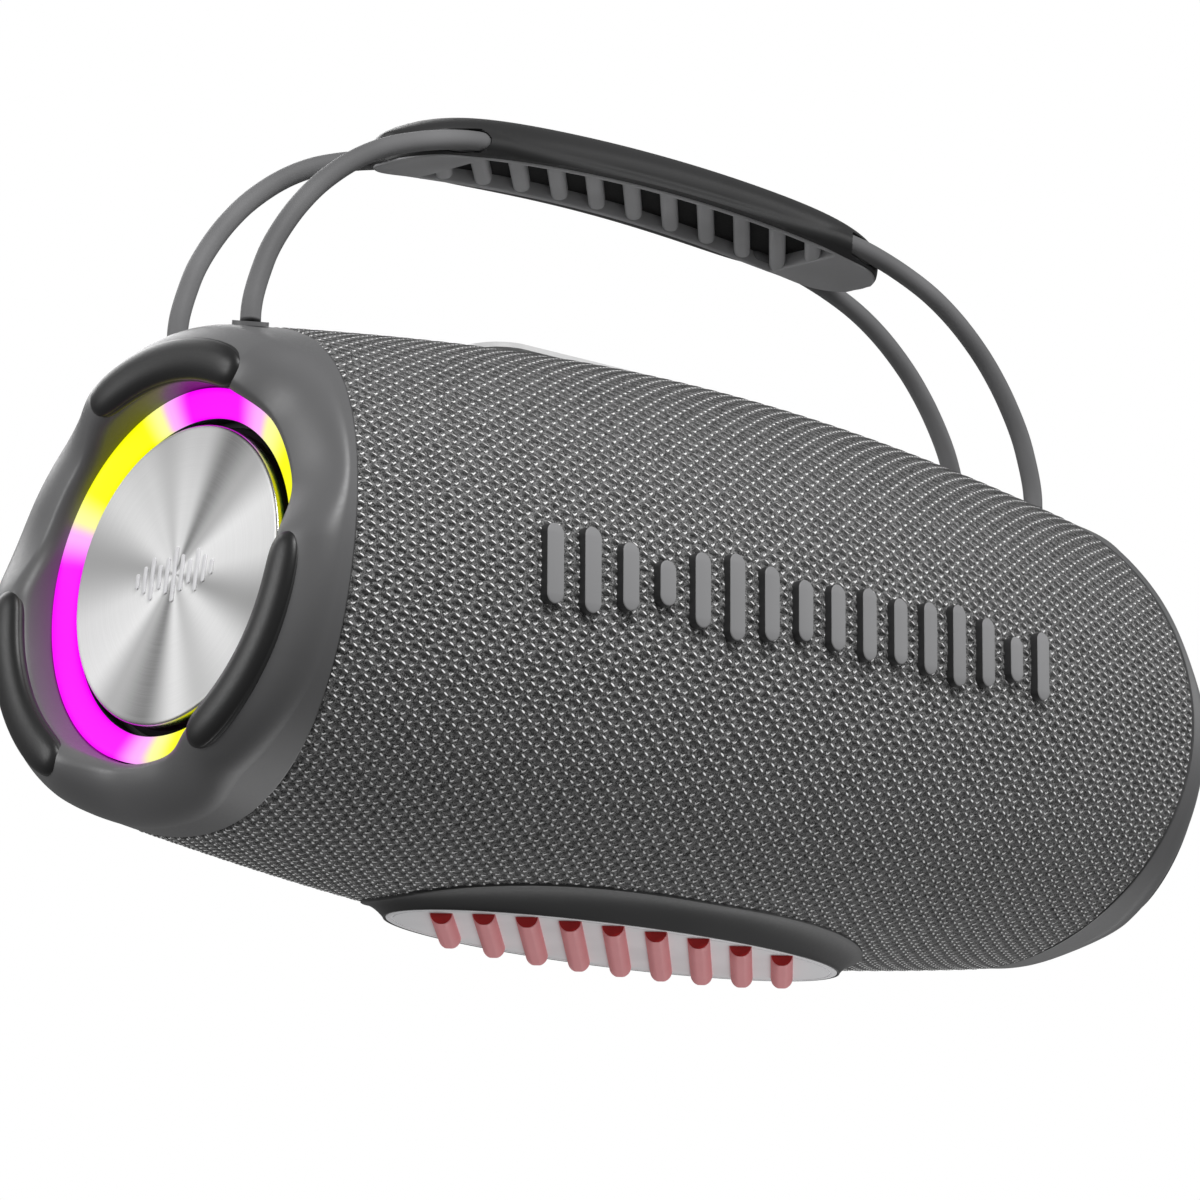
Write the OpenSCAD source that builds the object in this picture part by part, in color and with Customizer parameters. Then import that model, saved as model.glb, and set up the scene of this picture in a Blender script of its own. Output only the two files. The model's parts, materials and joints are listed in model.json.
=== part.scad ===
// Party speaker: a fabric-covered barrel with two light-ringed passive radiators,
// a grip hung on four cords and a ribbed foot.
// X runs along the barrel, the front faces -Y, and z = 0 is the plane the foot rests on.

/* [Barrel] */
// Half height of the barrel at its middle
barrel_r = 95; // [94:0.25:96]
// Depth of the barrel divided by its height
barrel_squash = 1.055; // [1.045:0.005:1.06]
// Height of the barrel's axis above the resting plane
axis_h = 98; // [98:0.1:98.4]
// Thickness of the fabric-covered grille
sleeve_t = 2.5; // [2.2:0.1:2.6]

/* [End caps] */
// Distance from the middle to the light ring
led_x = 193; // [192:0.5:194]
// Outer radius of the light ring
led_r = 60.4; // [60:0.1:60.4]
// Inner radius of the light ring
led_inner_r = 51.4; // [51.2:0.1:52]
// Lean of each end face, inwards at the top
end_lean = 5.8; // [5.4:0.1:6.2]
// Height of the cap's rim over the light ring under a bumper
pad_h = 13; // [12:0.5:14]
// Height of the cap's rim over the light ring between bumpers
saddle_h = 5.5; // [5:0.5:6.5]

/* [Handle] */
// Thickness of a handle cord
cord_d = 6.6; // [6.2:0.1:6.8]
// Distance of each cord from the middle plane
cord_y = 18; // [17.5:0.25:18.5]
// Length of the grip
grip_len = 222; // [218:1:226]
// Widest part of the grip
grip_w = 44; // [42:1:46]

/* [Foot] */
// Length of the foot plate
foot_len = 192; // [188:1:194]
// Depth of the foot plate
foot_w = 76; // [74:1:77]
// How far the ribs stand out of the foot plate
rib_h = 3.5; // [3.2:0.1:3.5]
// Distance between neighbouring ribs, along the barrel
rib_pitch = 19.2; // [18:0.2:19.6]

/* [Controls] */
// Radius of a button
button_r = 6; // [5.5:0.1:6.2]
// Distance between neighbouring buttons
button_pitch = 16.5; // [16:0.25:17]

/* [Hidden] */
$fn = 64;

// Barrel profile: how fast the radius falls off along X
barrel_sag = 0.0481;
barrel_ease = 0.0018;
// Seam between cap and sleeve: mean place, saddle wave and lean
seam_mid = 182.4;
seam_wave = 8.4;
seam_lean = 5.2;
// Steps round and along the sleeve, and round a cap
sleeve_steps = 60;
sleeve_cells = 18;
cap_steps = 72;
// Cabinet
cabinet_gap = 4.5;
cabinet_wall = 3;
cabinet_half = 162;
// Drivers
woofer_x = 86;
woofer_face_y = -79;
woofer_hole_r = 39;
woofer_flange_r = 44.5;
tweeter_r = 15;
screw_ring_r = 41.8;
screw_r = 1.4;
// Radiators: the disc's face lies just under the light ring's outer edge
disc_r = 48.5;
disc_face = -0.5;
disc_t = 3.5;
disc_skin = 1.6;
// The light ring is dished: its inner edge lies this deep
led_dish = 3;
// Control panel and port panel: angle round the barrel and distance from the axis
panel_x = -15;
panel_angle = 87;
panel_dist = 96.2;
port_angle = -18;
port_dist = 99.4;
door_len = 70;
door_w = 24;
// Foot: height of the plate's lower face under the axis
plate_z = -axis_h + rib_h;
// Cord route on the +X side: x and z over the axis
cord_route = [
    [180.3, 80.6], [180.1, 84.5], [179.2, 89.5], [177, 96.5], [173.5, 105], [168, 114], [161, 123],
    [152, 132], [140, 141], [127, 148], [113, 153], [99, 156.6], [88, 158.4], [76, 159.4]
];
tray_z = 153.6;
tray_t = 7;
core_t = 2;
fin_pitch = 17.3;
fin_w = 5.7;
field_len = 164;
field_w = 32;
clearance = 0.3;

// ---------- shape functions ----------
function barrel_at(x) =
    barrel_r * (1 - barrel_sag * pow(x / barrel_r, 2) + barrel_ease * pow(x / barrel_r, 4));
function seam_x(t) = seam_mid + seam_wave * cos(2 * t) - seam_lean * sin(t);
function mix(a, b, f) = a + (b - a) * f;
function smooth(f) = let (g = min(1, max(0, f))) g * g * (3 - 2 * g);
// How much of the bumper height the cap's rim has at angle t
function pad_share(t) = smooth(cos(3 * (t - 90)) + 0.95);
function led_plane_x(r, t) = led_x - tan(end_lean) * r * sin(t);
function oval(x, r, t, squash) = [x, squash * r * cos(t), r * sin(t)];
// Height of the fabric under the axis at a place near the bottom, with a gap
function fabric_z(x, y, gap) =
    -sqrt(1 - pow(y / (barrel_squash * barrel_at(x)), 2)) * barrel_at(x) - gap;
function spow(v, e) = sign(v) * pow(abs(v), e);
function super_point(a, b, t, e) = [a * spow(cos(t), e), b * spow(sin(t), e)];

// Triangles of a closed tube of rings: m rings of n points, joined first to last when loop is true
function ring_faces(m, n, loop) = [
    for (i = [0 : m - (loop ? 1 : 2)], j = [0 : n - 1])
        let (a = i * n, b = ((i + 1) % m) * n, k = (j + 1) % n)
        each [[a + j, b + j, b + k], [a + j, b + k, a + k]]
];
function end_faces(m, n) = [
    [for (j = [0 : n - 1]) j],
    [for (j = [n - 1 : -1 : 0]) (m - 1) * n + j]
];
module ring_loft(rings, loop = false) {
    m = len(rings);
    n = len(rings[0]);
    points = [for (r = rings) each r];
    faces = concat(ring_faces(m, n, loop), loop ? [] : end_faces(m, n));
    polyhedron(points, faces, convexity = 8);
}

module at_axis() {
    translate([0, 0, axis_h]) children();
}
// Draws its children for the +X end, or mirrored for the -X end
module at_side(side) {
    at_axis() mirror([side < 0 ? 1 : 0, 0, 0]) children();
}
// Local frame of an end face: +X out of the light ring's plane
module end_frame(side) {
    at_side(side) translate([led_x, 0, 0]) rotate([0, -end_lean, 0]) children();
}
// Turns a profile drawn as [radius, distance along X] about the X axis
module turn_x(profile) {
    rotate([90, 0, 90]) rotate_extrude() polygon(profile);
}
module rod_x(x1, x2, r) {
    translate([x1, 0, 0]) rotate([0, 90, 0]) cylinder(h = x2 - x1, r = r);
}
module tube_x(x1, x2, r1, r2) {
    turn_x([[r1, x1], [r2, x1], [r2, x2], [r1, x2]]);
}
// Turns a profile drawn as [radius, depth] about a driver's axis, which leaves along -Y
module turn_driver(x, profile) {
    at_axis() translate([x, 0, 0]) rotate([90, 0, 0]) rotate_extrude() polygon(profile);
}
// Plate with round corners, centred, standing on z = 0
module round_plate(lx, ly, h, r) {
    linear_extrude(h) {
        square([lx - 2 * r, ly], center = true);
        square([lx, ly - 2 * r], center = true);
        for (sx = [-1, 1], sy = [-1, 1])
            translate([sx * (lx / 2 - r), sy * (ly / 2 - r)]) circle(r);
    }
}
// Local frame on the barrel's side: +Z out of the body, X along the barrel
module surface_frame(angle, x = 0) {
    at_axis() translate([x, 0, 0]) rotate([angle - 90, 0, 0]) children();
}

// ---------- cabinet ----------
function cabinet_profile(gap, half) = concat(
    [[0, -half]],
    [for (x = [-half : half / 8 : half]) [barrel_at(x) - gap, x]],
    [[0, half]]
);
module cabinet_solid(gap, half) {
    turn_x(cabinet_profile(gap, half));
}
module cabinet_shell() {
    difference() {
        cabinet_solid(cabinet_gap, cabinet_half);
        cabinet_solid(cabinet_gap + cabinet_wall, cabinet_half - cabinet_wall);
        rod_x(-200, 200, 54);
    }
}
module half_space(side) {
    translate([-200, side > 0 ? 0.05 : -120.05, -120]) cube([400, 120, 240]);
}
// Ring that a driver's flange sits on, and the collar round it
module driver_seat(x, hole_r, seat_r) {
    intersection() {
        cabinet_solid(cabinet_gap + 0.2, cabinet_half - 1);
        translate([x, 0, 0]) rotate([90, 0, 0]) difference() {
            translate([0, 0, -woofer_face_y - 6]) cylinder(h = 30, r = seat_r + 3.5);
            translate([0, 0, -woofer_face_y - 7]) cylinder(h = 40, r = hole_r);
            translate([0, 0, -woofer_face_y - 3]) cylinder(h = 40, r = seat_r + 0.4);
        }
    }
}
module driver_hole(x, r) {
    translate([x, -60, 0]) rotate([90, 0, 0]) cylinder(h = 60, r = r);
}
module front_cabinet() color([0.12, 0.12, 0.13]) at_axis() {
    difference() {
        intersection() {
            cabinet_shell();
            half_space(-1);
        }
        for (s = [-1, 1]) driver_hole(s * woofer_x, woofer_flange_r + 1);
        driver_hole(0, tweeter_r + 4);
    }
    for (s = [-1, 1]) difference() {
        driver_seat(s * woofer_x, woofer_hole_r, woofer_flange_r);
        screw_places(s * woofer_x) cylinder(h = 20, r = screw_r + 0.2, center = true);
    }
    driver_seat(0, tweeter_r, tweeter_r + 3);
}
module rear_cabinet() color([0.12, 0.12, 0.13]) at_axis() difference() {
    intersection() {
        cabinet_shell();
        half_space(1);
    }
    rotate([port_angle - 90, 0, 0]) translate([-38, -14, 60]) cube([76, 28, 60]);
}

// ---------- fabric sleeve ----------
function sleeve_x(i, j) = (seam_x(i * 360 / sleeve_steps) - clearance) * (2 * j / sleeve_cells - 1);
function sleeve_open(i, j) = let (
    t = ((i + 0.5) * 360 / sleeve_steps) % 360,
    x = (sleeve_x(i, j) + sleeve_x(i, j + 1)) / 2,
    in_foot = pow(x / 84, 2) + pow((t - 270) / 22, 2) < 1,
    in_panel = abs(x - panel_x) < 52 && abs(t - panel_angle) < 9,
    in_port = abs(x) < 40 && abs(t - 360 - port_angle) < 12
) j < 0 || j >= sleeve_cells || in_foot || in_panel || in_port;
function sleeve_id(i, j, k) = ((i % sleeve_steps) * (sleeve_cells + 1) + j) * 2 + k;
function quad(a, b, c, d) = [[a, b, c], [a, c, d]];
function sleeve_cell(i, j) = let (
    n = sleeve_steps,
    o = [sleeve_id(i, j, 0), sleeve_id(i + 1, j, 0), sleeve_id(i + 1, j + 1, 0), sleeve_id(i, j + 1, 0)],
    p = [sleeve_id(i, j, 1), sleeve_id(i + 1, j, 1), sleeve_id(i + 1, j + 1, 1), sleeve_id(i, j + 1, 1)]
) concat(
    quad(o[3], o[2], o[1], o[0]),
    quad(p[0], p[1], p[2], p[3]),
    sleeve_open(i, j - 1) ? quad(o[0], o[1], p[1], p[0]) : [],
    sleeve_open(i, j + 1) ? quad(o[2], o[3], p[3], p[2]) : [],
    sleeve_open((i + n - 1) % n, j) ? quad(o[3], o[0], p[0], p[3]) : [],
    sleeve_open((i + 1) % n, j) ? quad(o[1], o[2], p[2], p[1]) : []
);
module grille_sleeve() color([0.25, 0.25, 0.26]) at_axis() {
    points = [
        for (i = [0 : sleeve_steps - 1], j = [0 : sleeve_cells], k = [0, 1])
            let (x = sleeve_x(i, j), t = i * 360 / sleeve_steps)
            oval(x, barrel_at(x) - k * sleeve_t, t, barrel_squash)
    ];
    faces = [
        for (i = [0 : sleeve_steps - 1], j = [0 : sleeve_cells - 1])
            if (!sleeve_open(i, j)) each sleeve_cell(i, j)
    ];
    polyhedron(points, faces, convexity = 10);
}

// ---------- badge: an equaliser of round-ended bars ----------
badge_x = -10;
badge_bars = 16;
badge_pitch = 14.6;
badge_bar_w = 6.4;
function badge_height(i) = 13 + 8.5 * abs(sin(i * 360 / 7.5 + 40)) + 7 * abs(cos(i * 360 / 11));
module badge() color([0.42, 0.42, 0.43]) at_axis() for (i = [0 : badge_bars - 1]) {
    x = badge_x + (i - (badge_bars - 1) / 2) * badge_pitch;
    h = badge_height(i) - badge_bar_w;
    face_y = barrel_squash * barrel_at(x) + 3;
    translate([x, -face_y, 2]) rotate([-90, 0, 0]) {
        translate([-badge_bar_w / 2, -h / 2, 0]) cube([badge_bar_w, h, 4.6]);
        for (s = [-1, 1]) translate([0, s * h / 2, 0]) cylinder(h = 4.6, r = badge_bar_w / 2);
    }
}

// ---------- end caps ----------
function cap_rim_r(t) = mix(64.3, 66, pad_share(t));
function cap_rim_x(t) = led_plane_x(cap_rim_r(t), t) + mix(saddle_h, pad_h, pad_share(t));
function cap_section(t) = let (
    xs = seam_x(t),
    xc = cap_rim_x(t),
    rc = cap_rim_r(t),
    roll = min(15, 0.75 * (xc - xs)),
    xa = xc - roll,
    ra = barrel_at(xa),
    xl = led_plane_x(led_r, t),
    lip = min(4, xc - xl - 1),
    rl = led_r + 0.5
) concat(
    [oval(xs, barrel_at(xs), t, barrel_squash)],
    [for (f = [0.4, 0.8]) oval(mix(xs, xa, f), barrel_at(mix(xs, xa, f)), t, barrel_squash)],
    [for (p = [0 : 15 : 75])
        oval(xa + roll * sin(p), rc + (ra - rc) * cos(p), t, mix(1, barrel_squash, cos(p)))],
    [for (p = [0 : 30 : 90])
        oval(xc - lip * (1 - cos(p)), rl + 0.4 + (rc - rl - 0.4) * (1 - sin(p)), t, 1)],
    [oval(xl + 0.3, rl, t, 1), oval(xl - 3, rl, t, 1), oval(xl - 3, rl + 2.5, t, 1)],
    [oval(xa - 1, ra - 5, t, mix(1, barrel_squash, 0.8))],
    [oval(xs, barrel_at(xs) - 3.2, t, barrel_squash)]
);
module end_cap() {
    ring_loft([for (i = [0 : cap_steps - 1]) cap_section(i * 360 / cap_steps)], true);
}
module end_cap_left() color([0.35, 0.35, 0.36]) at_side(-1) end_cap();
module end_cap_right() color([0.35, 0.35, 0.36]) at_side(1) end_cap();

// Bumper: a round bar bent along the cap's rim, half sunk in it, with round ends
bumper_half_angle = 32;
bumper_steps = 16;
function bumper_taper(f) = sqrt(max(0.02, 1 - pow(abs(f), 9)));
function bumper_ring(t, size) = [
    for (a = [0 : 30 : 330])
        let (r = cap_rim_r(t) + 1 + 6.6 * size * cos(a), x = cap_rim_x(t) - 1.2 + 3.4 * size * sin(a))
        oval(x, r, t, 1.01)
];
module bumper(angle) {
    ring_loft([
        for (i = [0 : bumper_steps])
            let (f = 2 * i / bumper_steps - 1)
            bumper_ring(angle + f * bumper_half_angle, bumper_taper(f))
    ]);
}
module bumper_left_top() color([0.22, 0.22, 0.23]) at_side(-1) bumper(90);
module bumper_left_front() color([0.22, 0.22, 0.23]) at_side(-1) bumper(210);
module bumper_left_rear() color([0.22, 0.22, 0.23]) at_side(-1) bumper(330);
module bumper_right_top() color([0.22, 0.22, 0.23]) at_side(1) bumper(90);
module bumper_right_front() color([0.22, 0.22, 0.23]) at_side(1) bumper(210);
module bumper_right_rear() color([0.22, 0.22, 0.23]) at_side(1) bumper(330);

// ---------- light rings ----------
module light_diffuser(side) color([0.95, 0.3, 0.9]) end_frame(side)
    turn_x([[led_inner_r, -4.2], [54.2, -3.2], [led_r, -2.5], [led_r, -0.4], [led_r - 1.5, 0],
        [led_inner_r, -led_dish]]);
module light_board(side) color([0.1, 0.35, 0.2]) end_frame(side) {
    tube_x(-5.8, -4.4, led_inner_r, led_r - 1);
    for (i = [0 : 17]) rotate([i * 20, 0, 0])
        translate([-4.8, (led_r + led_inner_r) / 2 - 1.5, -1.5]) cube([1.3, 3, 3]);
}
module light_diffuser_left() light_diffuser(-1);
module light_diffuser_right() light_diffuser(1);
module light_board_left() light_board(-1);
module light_board_right() light_board(1);

// ---------- passive radiators ----------
module radiator_frame(side) color([0.15, 0.15, 0.16]) {
    difference() {
        end_frame(side) tube_x(-44, -7, 56.5, led_r - 0.4);
        at_side(side) translate([cabinet_half - 60.2, -80, -80]) cube([60.4, 160, 160]);
    }
    end_frame(side) tube_x(-12, -9, 52.5, 57);
}
module radiator_surround(side) color([0.08, 0.08, 0.08]) end_frame(side)
    turn_x([[43.5, -12.1], [46, -12.1], [46.6, -10], [48.3, -8.2], [50, -10], [50.6, -12.1],
        [56.3, -12.1], [56.3, -13.4], [49.9, -13.4], [49.2, -10.6], [48.3, -9.4], [47.4, -10.6],
        [46.7, -13.4], [43.5, -13.4]]);
module radiator_disc(side) color([0.85, 0.85, 0.87]) end_frame(side)
    turn_x([[0, disc_face], [disc_r - 1, disc_face], [disc_r, disc_face - 1], [disc_r, disc_face - disc_t],
        [disc_r - 1.5, disc_face - disc_t], [disc_r - 1.5, disc_face - disc_skin],
        [0, disc_face - disc_skin]]);
module radiator_hub(side) color([0.3, 0.3, 0.31]) end_frame(side)
    turn_x([[0, disc_face - disc_skin], [20, disc_face - disc_skin], [20, -4], [9, -5], [9, -10], [43.2, -11],
        [43.2, -14.6], [30, -16], [22, -24], [0, -24]]);
module radiator_frame_left() radiator_frame(-1);
module radiator_frame_right() radiator_frame(1);
module radiator_surround_left() radiator_surround(-1);
module radiator_surround_right() radiator_surround(1);
module radiator_disc_left() radiator_disc(-1);
module radiator_disc_right() radiator_disc(1);
module radiator_hub_left() radiator_hub(-1);
module radiator_hub_right() radiator_hub(1);

// ---------- drivers; depths are measured from the axis towards the front ----------
face = -woofer_face_y;
module screw_places(x) {
    for (i = [0 : 3]) translate([x, 0, 0]) rotate([90, 0, 0]) rotate([0, 0, 45 + 90 * i])
        translate([screw_ring_r, 0, face]) children();
}
module woofer_basket(s) color([0.2, 0.2, 0.21]) difference() {
    turn_driver(s * woofer_x, [[33, face - 3], [37.5, face - 3], [28, face - 22], [14, face - 22],
        [14, face - 24.5], [30, face - 24.5], [38.8, face - 5], [38.8, face - 3],
        [woofer_flange_r, face - 3], [woofer_flange_r, face - 0.8], [33, face - 0.8]]);
    at_axis() screw_places(s * woofer_x) cylinder(h = 20, r = screw_r + 0.2, center = true);
}
module woofer_magnet(s) color([0.45, 0.45, 0.47])
    turn_driver(s * woofer_x, [[0, face - 42], [27, face - 42], [27, face - 24.5], [13, face - 24.5],
        [13, face - 38], [0, face - 38]]);
module woofer_cone(s) color([0.1, 0.1, 0.1])
    turn_driver(s * woofer_x, [[27, face - 3.4], [28.2, face - 3.4], [11.6, face - 18.6], [11, face - 34],
        [10, face - 34], [10, face - 16.5], [0, face - 12.5], [0, face - 11.3], [11, face - 15]]);
module woofer_surround(s) color([0.06, 0.06, 0.06])
    turn_driver(s * woofer_x, [[28.6, face - 2.9], [29.4, face - 0.6], [31, face + 1], [32.6, face - 0.5],
        [37, face - 0.5], [37, face + 0.4], [33.2, face + 0.4], [31, face + 2.2], [28.6, face]]);
module woofer_basket_left() woofer_basket(-1);
module woofer_basket_right() woofer_basket(1);
module woofer_magnet_left() woofer_magnet(-1);
module woofer_magnet_right() woofer_magnet(1);
module woofer_cone_left() woofer_cone(-1);
module woofer_cone_right() woofer_cone(1);
module woofer_surround_left() woofer_surround(-1);
module woofer_surround_right() woofer_surround(1);
module woofer_screws() color([0.7, 0.7, 0.7]) at_axis() for (s = [-1, 1]) screw_places(s * woofer_x) {
    translate([0, 0, -7]) cylinder(h = 7.2, r = screw_r);
    translate([0, 0, -0.8]) cylinder(h = 1.6, r = 2.6);
}
module tweeter() color([0.3, 0.3, 0.32])
    turn_driver(0, [[0, face + 2.5], [6, face + 1.8], [9, face - 0.5], [tweeter_r + 3, face - 0.5],
        [tweeter_r + 3, face - 3], [tweeter_r - 0.4, face - 3], [tweeter_r - 0.4, face - 14],
        [0, face - 14]]);

// ---------- electronics ----------
cell_r = 9.1;
cell_len = 65;
module battery_pack() color([0.1, 0.3, 0.55]) at_axis() {
    for (col = [0, 1], row = [-1, 0, 1])
        translate([-75, 30 + col * 18.8, -38 + row * 18.8]) rod_x(0, cell_len, cell_r);
    for (x = [-79, -9.5]) translate([x, 22, -60]) cube([3.5, 34, 46]);
}
module main_board() color([0.05, 0.3, 0.15]) at_axis() {
    translate([10, 30, -40]) cube([110, 1.6, 80]);
    for (i = [0 : 3]) translate([26 + 22 * i, 31.6, 22]) rotate([-90, 0, 0]) cylinder(h = 14, r = 6);
    for (i = [0 : 2]) translate([20 + 32 * i, 31.6, -30]) cube([16, 4, 16]);
}
module amp_heatsink() color([0.6, 0.6, 0.62]) at_axis() {
    translate([40, 25.5, -20]) cube([50, 4.5, 36]);
    for (i = [0 : 6]) translate([40 + i * 8, 12, -20]) cube([2, 14, 36]);
}

// ---------- top control panel ----------
module control_panel() color([0.75, 0.75, 0.76]) surface_frame(panel_angle, panel_x) difference() {
    union() {
        translate([0, 0, panel_dist - 1.7]) round_plate(114, 33, 1.7, 14);
        translate([0, 0, panel_dist - 4.4]) round_plate(106, 27, 3, 11);
    }
    translate([0, 0, panel_dist - 5]) round_plate(102, 23, 3.4, 9);
    for (i = [0 : 5]) translate([button_pitch * (i - 2.5), 0, panel_dist - 6])
        cylinder(h = 10, r = button_r + clearance);
}
module button(i) color([0.3, 0.3, 0.31]) surface_frame(panel_angle, panel_x)
    translate([button_pitch * (i - 3.5), 0, panel_dist]) {
        translate([0, 0, -3]) cylinder(h = 4, r = button_r);
        translate([0, 0, -3.1]) cylinder(h = 1.1, r = button_r + 1.2);
    }
module button_1() button(1);
module button_2() button(2);
module button_3() button(3);
module button_4() button(4);
module button_5() button(5);
module button_6() button(6);
module button_board() color([0.05, 0.3, 0.15]) surface_frame(panel_angle, panel_x)
    translate([0, 0, panel_dist - 5.2]) round_plate(98, 20, 0.7, 6);

// ---------- rear port panel and its door, which turns on pins along its lower edge ----------
// The door's pins: radius, place in the panel's frame and length in the panel
pin_r = 1;
pin_y = 10.75;
pin_z = 0.55;
pin_len = 2;
edge_r = 1.25;
module door_rod(len, r) {
    translate([-len / 2, pin_y, port_dist + pin_z]) rotate([0, 90, 0]) cylinder(h = len, r = r);
}
module port_panel() color([0.25, 0.25, 0.26]) surface_frame(port_angle) difference() {
    union() {
        translate([0, 0, port_dist - 1]) round_plate(92, 42, 3, 8);
        translate([0, 0, port_dist - 8]) round_plate(80, 34, 8, 6);
    }
    translate([-door_len / 2 - 0.4, -door_w / 2 - 0.4, port_dist - 1])
        cube([door_len + 0.8, door_w + 0.8, 6]);
    translate([-door_len / 2 + 2, -door_w / 2 + 2, port_dist - 9]) cube([door_len - 4, door_w - 4, 12]);
    door_rod(door_len + 2 * pin_len + 1, pin_r + 0.15);
}
module port_door() color([0.18, 0.18, 0.19]) surface_frame(port_angle) {
    translate([-door_len / 2, -door_w / 2, port_dist + pin_z - edge_r])
        cube([door_len, pin_y + door_w / 2, 2 * edge_r]);
    door_rod(door_len, edge_r);
    door_rod(door_len + 2 * pin_len, pin_r);
}
module socket_block() color([0.5, 0.5, 0.5]) surface_frame(port_angle)
    translate([0, 0, port_dist - 30]) difference() {
        translate([-31, -9, 0]) cube([62, 18, 26]);
        for (x = [-22, -4]) translate([x, 0, 14]) cylinder(h = 20, r = 1.8);
        for (x = [8, 22]) translate([x, 0, 20]) cube([9, 3.4, 20], center = true);
    }

// ---------- foot ----------
function foot_ring(t) = let (
    rim = super_point(foot_len / 2 + 5, foot_w / 2 + 8, t, 0.85),
    mid = super_point(foot_len / 2 + 2.2, foot_w / 2 + 3, t, 0.92),
    edge = super_point(foot_len / 2 + 1, foot_w / 2 + 1, t, 1),
    seat = super_point(foot_len / 2 + 0.3, foot_w / 2 + 0.3, t, 1),
    ledge = super_point(foot_len / 2 - 3, foot_w / 2 - 2, t, 1)
) [
    [rim[0], rim[1], fabric_z(rim[0], rim[1], 0.4)],
    [rim[0], rim[1], fabric_z(rim[0], rim[1], 1.3)],
    [mid[0], mid[1], mix(plate_z, fabric_z(mid[0], mid[1], 1), 0.4)],
    [edge[0], edge[1], plate_z],
    [seat[0], seat[1], plate_z],
    [seat[0], seat[1], plate_z + 2.2],
    [ledge[0], ledge[1], plate_z + 2.2],
    [ledge[0], ledge[1], plate_z + 3]
];
module foot_housing() color([0.25, 0.25, 0.26]) at_axis()
    ring_loft([for (i = [63 : -1 : 0]) foot_ring(i * 360 / 64)], true);
module foot_plate() color([0.6, 0.6, 0.6]) at_axis() translate([0, 0, plate_z]) linear_extrude(2)
    polygon([for (i = [0 : 63]) super_point(foot_len / 2, foot_w / 2, i * 360 / 64, 1)]);
// A rib's ends lie on an oval inside the plate's edge
rib_a = foot_len / 2 - 8;
rib_b = foot_w / 2 - 3.5;
function rib_end(x0, s) = let (
    a = 1 / pow(rib_a, 2) + 1 / pow(rib_b, 2),
    b = 2 * x0 / pow(rib_a, 2),
    c = pow(x0 / rib_a, 2) - 1
) (-b + s * sqrt(b * b - 4 * a * c)) / (2 * a);
rib_r = 3.7;
module foot_ribs() color([0.75, 0.1, 0.12]) at_axis() intersection() {
    for (k = [-4 : 4]) {
        y1 = rib_end(k * rib_pitch, -1);
        y2 = rib_end(k * rib_pitch, 1);
        translate([k * rib_pitch + y1, y1, plate_z]) rotate([0, 0, 45]) rotate([0, 90, 0])
            cylinder(h = (y2 - y1) * sqrt(2), r = rib_r);
    }
    translate([-150, -60, plate_z - rib_h]) cube([300, 120, rib_h]);
}

// ---------- handle ----------
// The cap's surface under a cord: height over the axis, and its slopes along X and Y
root_z = 79;
root_slope_x = 7.6;
root_slope_y = 12;
module at_cord_root(sx, sy) {
    translate([sx * 180.3, sy * cord_y, root_z]) children();
}
module cord_grommets() color([0.3, 0.3, 0.31]) at_axis() for (sx = [-1, 1], sy = [-1, 1])
    at_cord_root(sx, sy) difference() {
        rotate([-sy * root_slope_y, sx * root_slope_x, 0]) {
            translate([0, 0, -4]) cylinder(h = 4.2, r = 5);
            cylinder(h = 1.4, r = 5.8);
        }
        translate([0, 0, -0.8]) cylinder(h = 10, r = cord_d / 2 + 0.35);
    }
module cord_anchors() color([0.6, 0.6, 0.6]) at_axis() for (sx = [-1, 1], sy = [-1, 1])
    at_cord_root(sx, sy) {
        translate([0, 0, -15]) cylinder(h = 3, r = 2.8);
        translate([0, 0, -12]) cylinder(h = 6, r = 2);
    }
function route_way(i) = let (
    n = len(cord_route),
    d = cord_route[min(n - 1, i + 1)] - cord_route[max(0, i - 1)]
) d / norm(d);
function cord_ring(i, y) = let (p = cord_route[i], w = route_way(i)) [
    for (a = [0 : 36 : 324])
        let (u = cord_d / 2 * cos(a), v = cord_d / 2 * sin(a))
        [p[0] - w[1] * u, y + v, p[1] + w[0] * u]
];
module handle_cord(side, y) color([0.4, 0.4, 0.41]) at_side(side)
    ring_loft([for (i = [0 : len(cord_route) - 1]) cord_ring(i, y)]);
module handle_cord_left_front() handle_cord(-1, -cord_y);
module handle_cord_left_rear() handle_cord(-1, cord_y);
module handle_cord_right_front() handle_cord(1, -cord_y);
module handle_cord_right_rear() handle_cord(1, cord_y);

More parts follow.
